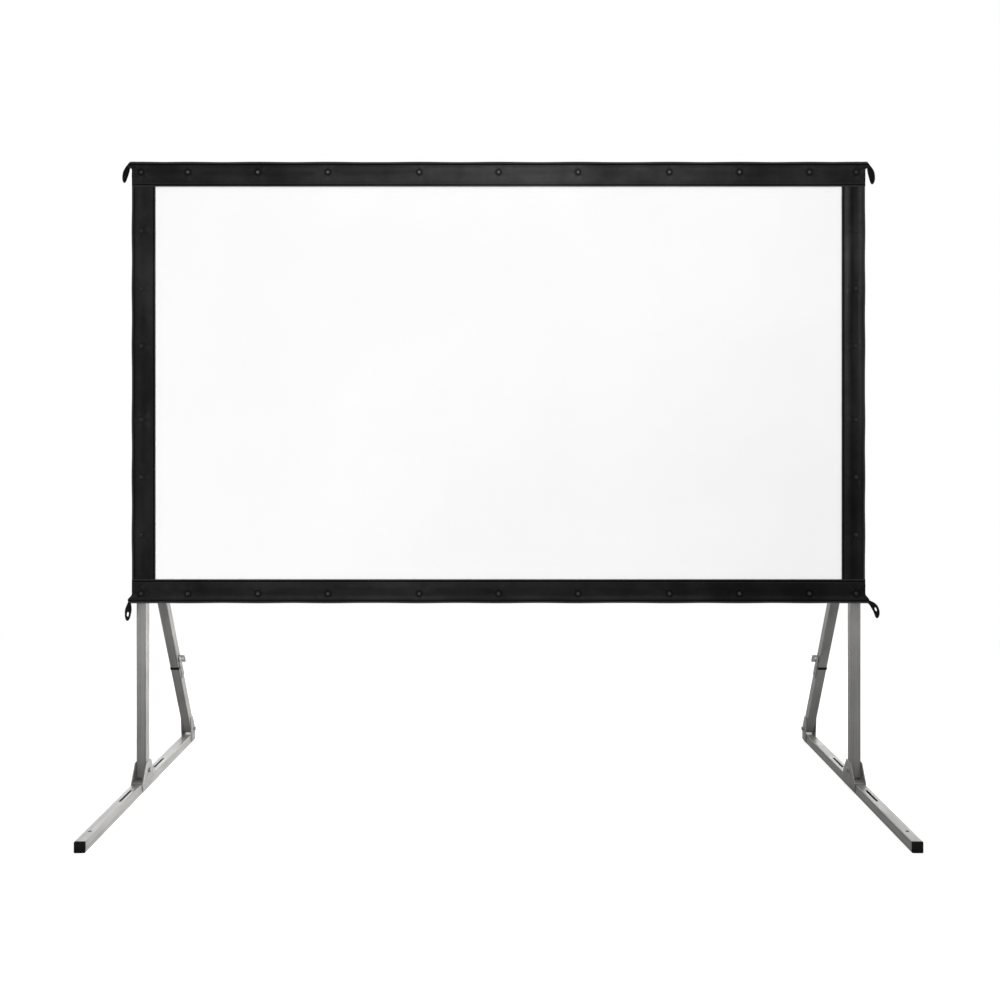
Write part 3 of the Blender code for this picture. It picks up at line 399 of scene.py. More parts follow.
def moved_copy(piece, matrix, name):
    """A copy with its own mesh, moved by a matrix that goes into the mesh."""
    copy = add_object(name, piece.data.copy())
    copy.data.transform(matrix)
    return copy


def smoothstep(low, high, value):
    """0 at low, 1 at high, smooth between and held beyond."""
    share = min(1.0, max(0.0, (value - low) / (high - low)))
    return share * share * (3 - 2 * share)


def hill(value, middle, half_width):
    """A smooth hill of height 1."""
    return math.exp(-((value - middle) / half_width) ** 2)


def rounded(value, power):
    """A power that keeps the sign."""
    return math.copysign(abs(value) ** power, value)


def shade_of(colour, factor):
    """A colour made lighter or darker."""
    return tuple(min(1.0, channel * factor) for channel in colour)


class Nodes:
    """Builds the node tree of a material or of the world."""

    def __init__(self, owner, output):
        owner.use_nodes = True
        self.tree = owner.node_tree
        self.tree.nodes.clear()
        self.output = self.node(output)

    def node(self, kind, **values):
        made = self.tree.nodes.new(kind)
        for key, value in values.items():
            setattr(made, key, value)
        return made

    def link(self, start, end):
        self.tree.links.new(start, end)

    def feed(self, kind, inputs, **values):
        """A node whose sockets get numbers, colours or links."""
        made = self.node(kind, **values)
        for key, value in inputs.items():
            if isinstance(value, bpy.types.NodeSocket):
                self.link(value, made.inputs[key])
            else:
                made.inputs[key].default_value = value
        return made

    def math(self, operation, first, second=None):
        values = {0: first} if second is None else {0: first, 1: second}
        return self.feed("ShaderNodeMath", values, operation=operation).outputs["Value"]

    def rescale(self, value, low, high, to_low, to_high):
        """A value brought from one range to another, with its ends held."""
        return self.feed("ShaderNodeMapRange",
                         {"Value": value, "From Min": low, "From Max": high,
                          "To Min": to_low, "To Max": to_high},
                         interpolation_type="SMOOTHSTEP").outputs["Result"]

    def mix(self, factor, first, second):
        """Mixes two shaders by a factor."""
        return self.feed("ShaderNodeMixShader",
                         {0: factor, 1: first, 2: second}).outputs["Shader"]

    def seen_rays(self):
        """1 for camera, glossy and transmission rays, which see the white background."""
        path = self.node("ShaderNodeLightPath").outputs
        near = self.math("MAXIMUM", path["Is Camera Ray"], path["Is Glossy Ray"])
        return self.math("MAXIMUM", near, path["Is Transmission Ray"])


class Finish(Nodes):
    """Builds one material on Object coordinates or on the piece's own UV map."""

    def __init__(self, name, roughness=0.5, metallic=0.0, **sockets):
        self.material = bpy.data.materials.new(name)
        super().__init__(self.material, "ShaderNodeOutputMaterial")
        self.shader = self.node("ShaderNodeBsdfPrincipled")
        self.shader.inputs["Roughness"].default_value = roughness
        self.shader.inputs["Metallic"].default_value = metallic
        for key, value in sockets.items():
            self.shader.inputs[key.replace("_", " ")].default_value = value
        self.link(self.shader.outputs["BSDF"], self.output.inputs["Surface"])

    def mapped(self, scale=(1, 1, 1), turn=(0, 0, 0), uv=False):
        """Object or UV coordinates, turned first and then scaled."""
        start = self.node("ShaderNodeTexCoord").outputs["UV" if uv else "Object"]
        if any(turn):
            start = self.feed("ShaderNodeMapping",
                              {"Vector": start, "Rotation": turn}).outputs["Vector"]
        return self.feed("ShaderNodeMapping",
                         {"Vector": start, "Scale": scale}).outputs["Vector"]

    def cloud(self, vector, scale, detail=3.0, rough=0.55):
        """Noise between 0 and 1."""
        return self.feed("ShaderNodeTexNoise",
                         {"Vector": vector, "Scale": scale, "Detail": detail,
                          "Roughness": rough}).outputs["Fac"]

    def cells(self, vector, scale):
        """One random value in each Voronoi cell."""
        colour = self.feed("ShaderNodeTexVoronoi",
                           {"Vector": vector, "Scale": scale}).outputs["Color"]
        return self.feed("ShaderNodeSeparateColor", {"Color": colour}).outputs["Red"]

    def blended_tone(self, *parts):
        """Sum of values, each with its weight."""
        weighted = [self.math("MULTIPLY", value, weight) for value, weight in parts]
        total = weighted.pop()
        while weighted:
            total = self.math("ADD", weighted.pop(), total)
        return total

    def axis(self, vector, name):
        return self.feed("ShaderNodeSeparateXYZ", {"Vector": vector}).outputs[name]

    def blend(self, fac, first, second):
        """Mixes two colours by a factor."""
        made = self.feed("ShaderNodeMix", {"Factor": fac}, data_type="RGBA")
        for index, value in ((6, first), (7, second)):
            if isinstance(value, bpy.types.NodeSocket):
                self.link(value, made.inputs[index])
            else:
                made.inputs[index].default_value = (*value, 1.0)
        return made.outputs[2]

    def shades(self, value, low, high, base, dark, light):
        """Goes from a darker to a lighter shade of a colour as a value rises."""
        return self.blend(self.rescale(value, low, high, 0.0, 1.0),
                          shade_of(base, dark), shade_of(base, light))

    def scaled(self, colour, factor):
        """A colour multiplied by a number."""
        return self.feed("ShaderNodeVectorMath", {0: colour, "Scale": factor},
                         operation="SCALE").outputs["Vector"]

    def attribute(self, name):
        """A number kept on the mesh's vertices."""
        return self.node("ShaderNodeAttribute", attribute_name=name).outputs["Fac"]

    def colour(self, value):
        self.link(value, self.shader.inputs["Base Color"])

    def roughness(self, value):
        self.link(value, self.shader.inputs["Roughness"])

    def bump(self, height, distance, strength=1.0):
        """Adds a bump on top of the ones before it."""
        made = self.feed("ShaderNodeBump", {"Strength": strength, "Distance": distance,
                                            "Height": height})
        before = self.shader.inputs["Normal"]
        if before.is_linked:
            self.link(before.links[0].from_socket, made.inputs["Normal"])
        self.link(made.outputs["Normal"], before)


def drawn_aluminium(name, turn, upright=False):
    """Satin aluminium with fine lines along the tube; turn brings the tube's length onto X.

    An upright tube has painted shade: darker near the ground and lighter higher up.
    """
    base = tuple(bpy.context.scene.screen_metal.aluminium_colour)
    finish = Finish(name, roughness=0.42, metallic=0.32)
    streak = finish.cloud(finish.mapped((3.0, 900.0, 900.0), turn), 1.0, 2.0)
    band = finish.cloud(finish.mapped((0.9, 95.0, 95.0), turn), 1.0, 2.0)
    smudge = finish.cloud(finish.mapped((7.0, 7.0, 7.0)), 1.0, 4.0)
    fine = finish.cloud(finish.mapped((14.0, 120.0, 120.0), turn), 1.0, 3.0)
    tone = finish.blended_tone((streak, 0.20), (smudge, 0.35), (band, 0.45))
    metal = finish.shades(tone, 0.36, 0.64, base, 0.74, 1.24)
    if upright:
        # Painted shade by height: darker near the ground, lighter higher up
        height = finish.axis(finish.mapped(), "Z")
        metal = finish.scaled(metal, finish.rescale(height, 0.10, 0.62, 0.80, 1.12))
    finish.colour(metal)
    scratch = finish.rescale(fine, 0.60, 0.72, 0.0, 0.10)
    grain = finish.rescale(smudge, 0.30, 0.70, 0.36, 0.48)
    finish.roughness(finish.math("ADD", grain, scratch))
    finish.bump(streak, 0.00006, 0.5)
    finish.bump(smudge, 0.0006, 0.25)
    return finish.material


def zinc_steel():
    """Bright-plated pressed steel with a faint cloudy mottle."""
    base = tuple(bpy.context.scene.screen_metal.steel_colour)
    finish = Finish("zinc_plated_steel", roughness=0.38, metallic=0.42)
    place = finish.mapped()
    mottle = finish.cloud(place, 60.0, 5.0, 0.65)
    tone = finish.blended_tone((finish.cells(place, 210.0), 0.30), (mottle, 0.70))
    finish.colour(finish.shades(tone, 0.25, 0.75, base, 0.84, 1.16))
    finish.roughness(finish.rescale(mottle, 0.30, 0.70, 0.30, 0.50))
    finish.bump(mottle, 0.0002, 0.35)
    finish.bump(finish.cloud(place, 900.0, 2.0), 0.00005, 0.4)
    return finish.material


def black_plastic():
    """Moulded plastic with a fine spark-eroded grain and rubbed patches."""
    base = tuple(bpy.context.scene.screen_metal.plastic_colour)
    finish = Finish("moulded_black_plastic", Specular_IOR_Level=0.10)
    place = finish.mapped()
    rub = finish.cloud(place, 70.0, 4.0, 0.6)
    finish.colour(finish.shades(rub, 0.45, 0.75, base, 1.0, 2.0))
    finish.roughness(finish.rescale(rub, 0.30, 0.70, 0.58, 0.42))
    finish.bump(finish.cloud(place, 1500.0, 2.0), 0.00008, 0.5)
    return finish.material


def weave(finish, vector, pitch):
    """Height of a plain weave whose threads run along the first two axes."""
    crossed = []
    for axis, other in (("X", "Y"), ("Y", "X")):
        thread = finish.math("SINE", finish.math(
            "MULTIPLY", finish.axis(vector, axis), 2 * math.pi / pitch))
        over = finish.math("SINE", finish.math(
            "MULTIPLY", finish.axis(vector, other), math.pi / pitch))
        crossed.append(finish.math("MULTIPLY", thread, over))
    both = finish.math("ADD", crossed[0], crossed[1])
    return finish.rescale(both, -1.6, 1.6, 0.0, 1.0)


def border_cloth():
    """Black coated cloth: weave, turned edges with a stitch line each, dull dust, painted light
    and shade.
    """
    base = tuple(bpy.context.scene.screen_cloth.black_colour)
    finish = Finish("black_border_cloth", roughness=0.78, Specular_IOR_Level=0.035,
                    Sheen_Weight=0.006, Sheen_Roughness=0.45)
    cloth = finish.mapped(uv=True)
    threads = weave(finish, cloth, 0.0009)
    dust = finish.cloud(finish.mapped(), 9.0, 5.0, 0.6)
    patch = finish.cloud(finish.mapped(), 2.2, 2.0, 0.5)
    across = finish.axis(cloth, "Y")

    def lines(rows, half):
        """1 on two lines at their distances from the outer edge."""
        near = []
        for middle in rows:
            off = finish.math("ABSOLUTE", finish.math("SUBTRACT", across, middle))
            near.append(finish.rescale(off, half * 0.5, half, 1.0, 0.0))
        return finish.math("MAXIMUM", *near)

    tone = finish.blended_tone((dust, 0.5), (patch, 0.5))
    plain = finish.shades(tone, 0.30, 0.70, base, 0.62, 1.50)
    # Painted shade in the fold troughs and painted highlight on the ridges and puckers
    fold = finish.attribute("fold")
    plain = finish.blend(finish.rescale(fold, 0.30, 0.0, 0.0, 0.45),
                         plain, shade_of(base, 0.30))
    plain = finish.blend(finish.rescale(fold, 0.45, 1.0, 0.0, 0.60),
                         plain, shade_of(base, 1.9))
    # The tone attribute brings in the painted light and shade along the band
    plain = finish.scaled(plain, finish.attribute("tone"))
    # Painted highlight along the turned edges, where they catch the light
    edge = finish.math("MAXIMUM", finish.rescale(across, *HIGHLIGHT_OUTER_EDGE, 1.0, 0.0),
                       finish.rescale(across, *HIGHLIGHT_INNER_EDGE, 0.0, 0.6))
    plain = finish.blend(edge, plain, shade_of(base, 2.3))
    # Painted shade in the creases beside the turned edges
    creases = finish.math("MULTIPLY", lines(CREASE_SHADE_ROWS, CREASE_SHADE_HALF),
                          finish.attribute("crease"))
    plain = finish.blend(creases, plain, shade_of(base, 0.05))
    turns = finish.math("MULTIPLY", finish.axis(cloth, "X"), 1 / STITCH_PITCH)
    dash = finish.rescale(finish.math("FRACT", turns), 0.62, 0.70, 1.0, 0.0)
    stitch = finish.math("MULTIPLY", dash, lines(STITCH_ROWS, STITCH_HALF))
    finish.colour(finish.blend(stitch, plain, shade_of(base, 3.0)))
    finish.roughness(finish.rescale(tone, 0.3, 0.7, 0.84, 0.70))
    finish.bump(threads, 0.00012, 0.35)
    finish.bump(dust, 0.0008, 0.30)
    finish.bump(stitch, 0.0004, 0.8)
    return finish.material


def screen_cloth():
    """Matt white projection cloth with a fine even grain."""
    base = tuple(bpy.context.scene.screen_cloth.white_colour)
    finish = Finish("white_projection_cloth", roughness=0.86, Specular_IOR_Level=0.22,
                    Sheen_Weight=0.05)
    place = finish.mapped()
    grain = finish.cloud(place, 1400.0, 2.0)
    finish.colour(finish.shades(finish.cloud(place, 1.6), 0.3, 0.7, base, 0.985, 1.012))
    finish.roughness(finish.rescale(grain, 0.3, 0.7, 0.82, 0.90))
    finish.bump(weave(finish, finish.mapped(uv=True), 0.0007), 0.00006, 0.25)
    finish.bump(grain, 0.00004, 0.3)
    return finish.material


def webbing():
    """Black ribbed webbing, patterned on its own UV map in metres."""
    base = tuple(bpy.context.scene.screen_cloth.webbing_colour)
    finish = Finish("black_webbing", roughness=0.72, Specular_IOR_Level=0.08,
                    Sheen_Weight=0.01)
    along = finish.axis(finish.mapped(uv=True), "X")
    rib = finish.math("SINE", finish.math("MULTIPLY", along, 2 * math.pi / 0.0014))
    rib = finish.rescale(rib, -1.0, 1.0, 0.0, 1.0)
    fuzz = finish.cloud(finish.mapped(), 420.0, 4.0, 0.7)
    # Painted light on the ribs: crests lighter, grooves darker, broken up by random fuzz
    finish.colour(finish.blend(finish.math("MULTIPLY", rib, fuzz),
                               shade_of(base, 0.6), shade_of(base, 2.4)))
    finish.roughness(finish.rescale(fuzz, 0.3, 0.7, 0.66, 0.85))
    finish.bump(rib, 0.0003, 0.6)
    finish.bump(fuzz, 0.0002, 0.4)
    return finish.material


def lacquer(name, dark, rubbed, share, highlight_by_place=False):
    """Black-lacquered brass rubbed through in places, with a crown's painted highlight most on
    the top row's middle.
    """
    finish = Finish(name, roughness=0.40, Specular_IOR_Level=0.18)
    place = finish.mapped()
    rub = finish.cloud(place, 260.0, 4.0, 0.65)
    worn_and_highlit = finish.rescale(rub, share, share + 0.2, 0.0, 1.0)
    # A crown's lighter colour is also a painted highlight, strongest on the top row's middle
    if highlight_by_place:
        across = finish.math("ABSOLUTE", finish.axis(place, "X"))
        height = finish.axis(place, "Z")
        rows = finish.math("MAXIMUM", finish.rescale(height, 1.90, 1.98, 0.10, 1.0),
                           finish.rescale(height, 0.72, 0.66, 0.10, 0.26))
        worn_and_highlit = finish.math("MULTIPLY", worn_and_highlit, finish.math(
            "MULTIPLY", rows, finish.rescale(across, 0.90, 1.12, 1.0, 0.12)))
    finish.colour(finish.blend(worn_and_highlit, dark, rubbed))
    finish.roughness(finish.rescale(rub, 0.3, 0.7, 0.34, 0.50))
    finish.bump(rub, 0.0001, 0.4)
    return finish.material


def cast_silver():
    """Bright cast zinc with a tumbled, slightly cloudy skin."""
    finish = Finish("cast_zinc_knob", roughness=0.34, metallic=0.50)
    place = finish.mapped()
    cloudy = finish.cloud(place, 130.0, 4.0, 0.6)
    finish.colour(finish.blend(finish.rescale(cloudy, 0.3, 0.7, 0.0, 1.0),
                               (0.27, 0.27, 0.265), (0.40, 0.40, 0.39)))
    finish.roughness(finish.rescale(cloudy, 0.3, 0.7, 0.30, 0.44))
    finish.bump(finish.cloud(place, 700.0, 2.0), 0.0001, 0.4)
    return finish.material


# How each finish is made; a tube's numbers turn its length onto X
FINISH_MAKERS = {
    "aluminium_x": (drawn_aluminium, "drawn_aluminium_across", (0, 0, 0)),
    "aluminium_y": (drawn_aluminium, "drawn_aluminium_foot", (0, 0, math.radians(-90))),
    "aluminium_z": (drawn_aluminium, "drawn_aluminium_upright",
                    (0, math.radians(90), 0), True),
    "aluminium_brace": (drawn_aluminium, "drawn_aluminium_brace",
                        (math.atan2(BRACE_UP[0], BRACE_UP[1]), math.radians(90), 0)),
    "steel": (zinc_steel,),
    "plastic": (black_plastic,),
    "border": (border_cloth,),
    "screen": (screen_cloth,),
    "webbing": (webbing,),
    "snap": (lacquer, "lacquered_snap_rim", (0.0030, 0.0030, 0.0031),
             (0.011, 0.011, 0.010), 0.55),
    # Crowns: lighter colour partly wear, partly a painted highlight
    "crown": (lacquer, "lacquered_snap_crown", (0.008, 0.008, 0.008),
              (0.130, 0.128, 0.124), 0.36, True),
    "silver": (cast_silver,),
}
FINISHES = {}


def finish_named(name):
    """Each material is made once."""
    if name not in FINISHES:
        maker, *values = FINISH_MAKERS[name]
        FINISHES[name] = maker(*values)
    return FINISHES[name]


def wear(piece, finish, body=None, replaces=()):
    """Gives a new piece its material and slot and its body, and hides the CAD nodes it stands
    for.
    """
    if finish:
        piece.data.materials.clear()
        piece.data.materials.append(finish_named(finish))
    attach(piece, body or ROOT)
    if replaces:
        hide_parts(*replaces)
    return piece


def repaint(node, finish):
    """Puts a new material in every slot of a CAD node that stays."""
    for slot in NODES[node].material_slots:
        slot.material = finish_named(finish)


def fine_copy(node, finish, bevel=None):
    """Copies a CAD fitting, dissolves its flat triangles and breaks its edges."""
    source = NODES[node]
    piece = moved_copy(source, Matrix.Identity(4), "fine_" + node)
    edit_whole(piece, lambda: bpy.ops.mesh.remove_doubles(threshold=0.00002),
               lambda: bpy.ops.mesh.dissolve_limited(angle_limit=math.radians(0.6)))
    if piece.data.has_custom_normals:
        bpy.ops.mesh.customdata_custom_splitnormals_clear()
    break_edges(piece, bevel or bpy.context.scene.screen_metal.edge_bevel, 38, clamp=False)
    soften(piece)
    return wear(piece, finish, source["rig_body"], (node,))


def snap_places(side):
    """Distances of a band's snaps along it from its middle."""
    if side in ("top", "bottom"):
        return sorted({sign * x for x in SNAP_X for sign in (1, -1)})
    return [sign * rise for rise in SNAP_RISE for sign in (-1, 1)]


def snap_points(side):
    """Place of a band's snaps, in X and Z."""
    start, along, inwards = BANDS[side][:3]
    return [(start[0] + along[0] * s + inwards[0] * SNAP_INSET,
             start[1] + along[1] * s + inwards[1] * SNAP_INSET) for s in snap_places(side)]


def nearest_snap(s, t, snaps):
    """The snap beside a place on a band, and how far away it is."""
    snap = min(snaps, key=lambda place: abs(place - s))
    return snap, math.hypot(s - snap, t - SNAP_INSET)


def band_columns(half, snaps):
    """Places along a band, closer together round the snaps and at the ends."""
    places = [-half]
    while places[-1] < half:
        here = places[-1]
        gap = min(abs(here - place) for place in snaps)
        fine = 0.0016 + 0.0038 * smoothstep(0.012, 0.034, gap)
        places.append(here + min(fine, 0.0024 + 0.03 * max(0.0, half - abs(here))))
    return [place * half / places[-1] if place > 0 else place for place in places]


def band_rise(side, s, t, snaps, half):
    """How far the band stands proud of its flat, at s along it and t in from its edge."""
    cloth = bpy.context.scene.screen_cloth
    code = len(side)
    rise = cloth.hem_rise * smoothstep(HEM_FOOT, HEM_TOP, t)
    rise += (0.5 * cloth.hem_rise * smoothstep(*INNER_HEM_RISE, t)
             * smoothstep(*INNER_HEM_FALL, t))
    flat = smoothstep(0.0, 0.014, t - HEM_FOOT) * smoothstep(0.0, 0.012, INNER_FLAT_END - t)
    snap, away = nearest_snap(s, t, snaps)
    turn = math.atan2(t - SNAP_INSET, s - snap)
    seed = noise.noise(Vector((snap * 9.0, code * 1.7, 0.3)))
    rays = 0.5 + 0.5 * math.cos(5 * turn + 6 * seed)
    rise += (cloth.pucker_height * rays * smoothstep(*PUCKER_START, away)
             * math.exp(-(away / PUCKER_REACH) ** 2) * flat)
    wander = FOLD_WANDER * noise.noise(Vector((s * 2.1, 3.0 + code, 0.0)))
    for middle, half_width, share in FOLDS[side]:
        level = 0.65 + 0.55 * noise.noise(Vector((s * 3.3, middle * 90, 1.0 + code)))
        rise += (cloth.side_fold_height * share * level * flat
                 * hill(t, middle + wander, half_width))
    ripple = noise.noise(Vector((s * 14.0, t * 45.0, 5.0 + code)))
    rise += RIPPLE_HEIGHT * (0.5 + 0.5 * ripple) * flat
    if side in CORNER_LIP:
        height, pitch, reach = CORNER_CREASE
        corner = half - abs(s)
        crease = 0.5 + 0.5 * math.sin((corner - t) / pitch + 3 * seed)
        rise += height * crease * math.exp(-(math.hypot(corner, t) / reach) ** 2)
    return rise


def band_painted_light(side, s, t, snaps, half):
    """Painted light and shade: lighter stretches, fold light stripes and shade rings round
    snaps.
    """
    (start, end), (middle, half_width, gain), stripes = BAND_PAINTED_LIGHT[side]
    share = smoothstep(-0.85 * half, 0.75 * half, s)
    tone = start + (end - start) * share + gain * hill(s, middle, half_width)
    wander = 0.003 * noise.noise(Vector((s * 3.0, 8.0, 0.0)))
    # Painted fold light: lighter stripes on the fold ridges, darker in the trough
    for place, width, first, last in stripes:
        grain = 1 + 0.5 * noise.noise(Vector((s * 9.0, place * 200, 2.0)))
        tone += (first + (last - first) * share) * grain * hill(t, place + wander, width)
    tone *= 1 + 0.22 * noise.noise(Vector((s * 6.0, t * 22.0, 9.0 + len(side))))
    # Painted shade ring round each snap of the top and bottom bands
    if side in CORNER_LIP:
        distance, width, depth = SNAP_SHADE_RING
        tone *= 1 - depth * hill(nearest_snap(s, t, snaps)[1], distance, width)
    return max(DARKEST_TONE, tone)


def band_reach(side, s, t, half, corner_height):
    """How far the pulled-out corners move a place along the band."""
    if not corner_height:
        return 0.0
    pull = 1 - smoothstep(CORNER_LIP[side], corner_height, t)
    pull -= 0.62 * max(0.0, 1 - t / CORNER_TIP) ** 1.6
    return math.copysign(CORNER_REACH * pull, s) * smoothstep(CORNER_RUN, 0.0, half - abs(s))


def border_band(side):
    """One border band: a grid shaped to its hems, folds, puckers and pulled-out corners."""
    cloth = bpy.context.scene.screen_cloth
    start, along, inwards, half, corner_height = BANDS[side]
    snaps = snap_places(side)
    across = band_columns(half, snaps)
    columns = len(across) - 1
    rows = len(BAND_ROWS) - 1
    band = cloth_grid("border_band_" + side, columns, rows)
    places = []
    values = {"fold": [], "tone": [], "crease": []}
    for vertex in band.data.vertices:
        s = across[round((vertex.co.x + 0.5) * columns)]
        t = BAND_ROWS[round((vertex.co.y + 0.5) * rows)]
        gap = min(abs(s - place) for place in snaps)
        drawn = cloth.edge_scallop * smoothstep(0.0, SCALLOP_RUN[side], gap)
        drawn *= 1 - min(1, t / EDGE_DEPTH)
        swell = EDGE_SWELL[side] * smoothstep(EDGE_DEPTH, 0.0, t)
        rise = band_rise(side, s, t, snaps, half)
        run = s + band_reach(side, s, t, half, corner_height)
        depth = t + drawn - swell
        # Painted fold light: dark in the troughs, lighter on the ridges and puckers
        flat = smoothstep(*FOLD_LIGHT_START, t) * smoothstep(*FOLD_LIGHT_END, t)
        fold = FLAT_FOLD_LIGHT + flat * (min(1.0, rise / FULL_FOLD_LIGHT_RISE) - FLAT_FOLD_LIGHT)
        places.append((s, t))
        values["fold"].append(fold)
        # Painted light and shade along the band, with random variation
        values["tone"].append(band_painted_light(side, s, t, snaps, half))
        # Depth of the painted crease shade on this half of the band
        values["crease"].append(CREASE_SHADE_DEPTH[side][0 if t < BAND_WIDTH / 2 else 1])
        vertex.co = (start[0] + along[0] * run + inwards[0] * depth,
                     BAND_FRONT - rise,
                     start[1] + along[1] * run + inwards[1] * depth)
    lay_pattern(band, places)
    for name, numbers in values.items():
        made = band.data.attributes.new(name, "FLOAT", "POINT")
        made.data.foreach_set("value", numbers)
    thicken(band, cloth.band_thickness, use_even_offset=False)
    return wear(band, "border", replaces=("border_" + side,))


def one_snap():
    """A snap fastener at the origin, facing -Y: turned cap in front and socket behind."""
    facing = (math.pi / 2, 0, 0)
    cap = turned_disc(28, CAP_RADIUS, CAP_DEPTH, facing)
    cap.data.transform(Matrix.Translation((0, BAND_FRONT - CAP_LIFT, 0)))
    turn_steps(cap, 1, -1, CAP_STEPS)
    break_edges(cap, CAP_BEVEL, 30)
    socket = turned_disc(24, SOCKET_RADIUS, CAP_DEPTH, facing, (0, BAND_BACK + SOCKET_LIFT, 0))
    turn_steps(socket, 1, 1, SOCKET_STEPS)
    snap = join([cap, socket], "snap_model")
    soften(snap, 40)
    snap.data.materials.clear()
    snap.data.materials.append(finish_named("snap"))
    snap.data.materials.append(finish_named("crown"))
    for polygon in snap.data.polygons:
        across = math.hypot(polygon.center.x, polygon.center.z)
        if polygon.center.y < BAND_FRONT - CAP_DEPTH and across < CROWN_RADIUS:
            polygon.material_index = 1
    return snap


class LoopPath:
    """A folded tape that hangs from a corner, bends in the cloth's plane and is turned."""

    root_width = 0.0055
    arm_steps = 14
    eye_steps = 16
    half_gap = 0.0002

    def __init__(self, start, heading, bend, length, belly, turn, eye, eye_share):
        self.start = start
        self.heading, self.bend = math.radians(heading), math.radians(bend)
        self.length = length
        self.belly = belly
        self.turn = math.radians(turn)
        self.eye_length, self.eye_width = eye
        self.eye_share = eye_share

    def middle(self, share):
        """Point on the tape's middle line and the direction across it, in X and Z."""
        angle = self.heading + self.bend * share
        radius = self.length / self.bend
        return ((self.start[0] + radius * (math.sin(angle) - math.sin(self.heading)),
                 self.start[1] - radius * (math.cos(angle) - math.cos(self.heading))),
                (-math.sin(angle), math.cos(angle)))

    def point(self, share, offset, lift=0.0):
        """Point off the middle line, with the tape turned further towards its end."""
        (x, z), (across_x, across_z) = self.middle(share)
        turn = self.turn * smoothstep(0.0, 0.35, share)
        flat = offset * math.cos(turn) - lift * math.sin(turn)
        deep = offset * math.sin(turn) + lift * math.cos(turn)
        return Vector((x + across_x * flat, LOOP_MIDDLE_Y - deep, z + across_z * flat))

    def half_width(self, share):
        swell = math.sin(math.pi * share) ** 2 if share < 0.5 else 1
        width = self.root_width + (self.belly - self.root_width) * swell
        return width * math.sqrt(max(0.0, 1 - share ** 4))

    def arm(self, side):
        """Shares and offsets of an arm's outer and inner edge, from the root to the tip."""
        eye_half = self.eye_length / self.length
        eye_start = self.eye_share - eye_half
        steps = []
        for index in range(self.arm_steps):
            share = eye_start * index / self.arm_steps
            steps.append((share, side * self.half_width(share), share,
                          -side * self.half_gap))
        for index in range(self.eye_steps + 1):
            angle = math.pi * (1 - index / self.eye_steps)
            inner = self.eye_share + eye_half * math.cos(angle)
            outer = min(0.9995, eye_start + (1 - eye_start)
                        * math.sin(math.pi / 2 * index / self.eye_steps))
            steps.append((outer, side * self.half_width(outer), inner,
                          side * self.eye_width * max(0.02, math.sin(angle))))
        return steps


# Start, heading, bend, length, half width, turn, eye's half length and half width, eye's share
LOOPS = {
    "top_left": LoopPath((-1.1900, 2.0335), 238, 30, 0.064, 0.0105, -50,
                         (0.0080, -0.0002), 0.66),
    "top_right": LoopPath((1.1900, 2.0335), -58, -36, 0.068, 0.0105, 24,
                          (0.0070, 0.0000), 0.62),
    "bottom_left": LoopPath((-1.1905, 0.6225), 258, 10, 0.064, 0.0105, -20,
                            (0.0075, 0.0028), 0.66),
    "bottom_right": LoopPath((1.1905, 0.6225), -21, -80, 0.068, 0.0108, 8,
                             (0.0065, 0.0025), 0.56),
}
TAPE_SIDES = 12
TAPE_HALF_RUN = 0.006


def close_ends():
    """Merges a tube's seam and fills its two open ends."""
    bpy.ops.mesh.remove_doubles(threshold=0.00001)
    bpy.ops.mesh.select_all(action="DESELECT")
    bpy.ops.mesh.select_mode(type="EDGE")
    bpy.ops.mesh.select_non_manifold()
    bpy.ops.mesh.edge_face_add()
    bpy.ops.mesh.select_all(action="SELECT")
    bpy.ops.mesh.normals_make_consistent(inside=False)


def webbing_loop(name):
    """A tape that runs out from the corner, round an eye and back, made from a grid."""
    cloth = bpy.context.scene.screen_cloth
    path = LOOPS[name]
    stations = path.arm(1) + path.arm(-1)[-2::-1]
    count = len(stations)
    loop = cloth_grid("webbing_loop_" + name, count - 1, TAPE_SIDES)
    run = [0.0]
    for before, after in zip(stations, stations[1:]):
        run.append(run[-1] + (path.point(*before[:2]) - path.point(*after[:2])).length)
    places = []
    for vertex in loop.data.vertices:
        index = round((vertex.co.x + 0.5) * (count - 1))
        angle = 2 * math.pi * (vertex.co.y + 0.5)
        outer_share, outer, inner_share, inner = stations[index]
        share = 0.5 + 0.5 * rounded(math.cos(angle), 0.6)
        lift = 0.5 * cloth.tape_thickness * rounded(math.sin(angle), 0.7)
        lift += 0.0003 * math.sin(9.0 * index / count)
        vertex.co = path.point(inner_share, inner, lift).lerp(
            path.point(outer_share, outer, lift), share)
        places.append((run[index], share * TAPE_HALF_RUN))
    lay_pattern(loop, places)
    edit_whole(loop, close_ends)
    soften(loop, 50)
    return wear(loop, "webbing", replaces=("corner_loop_" + name,))


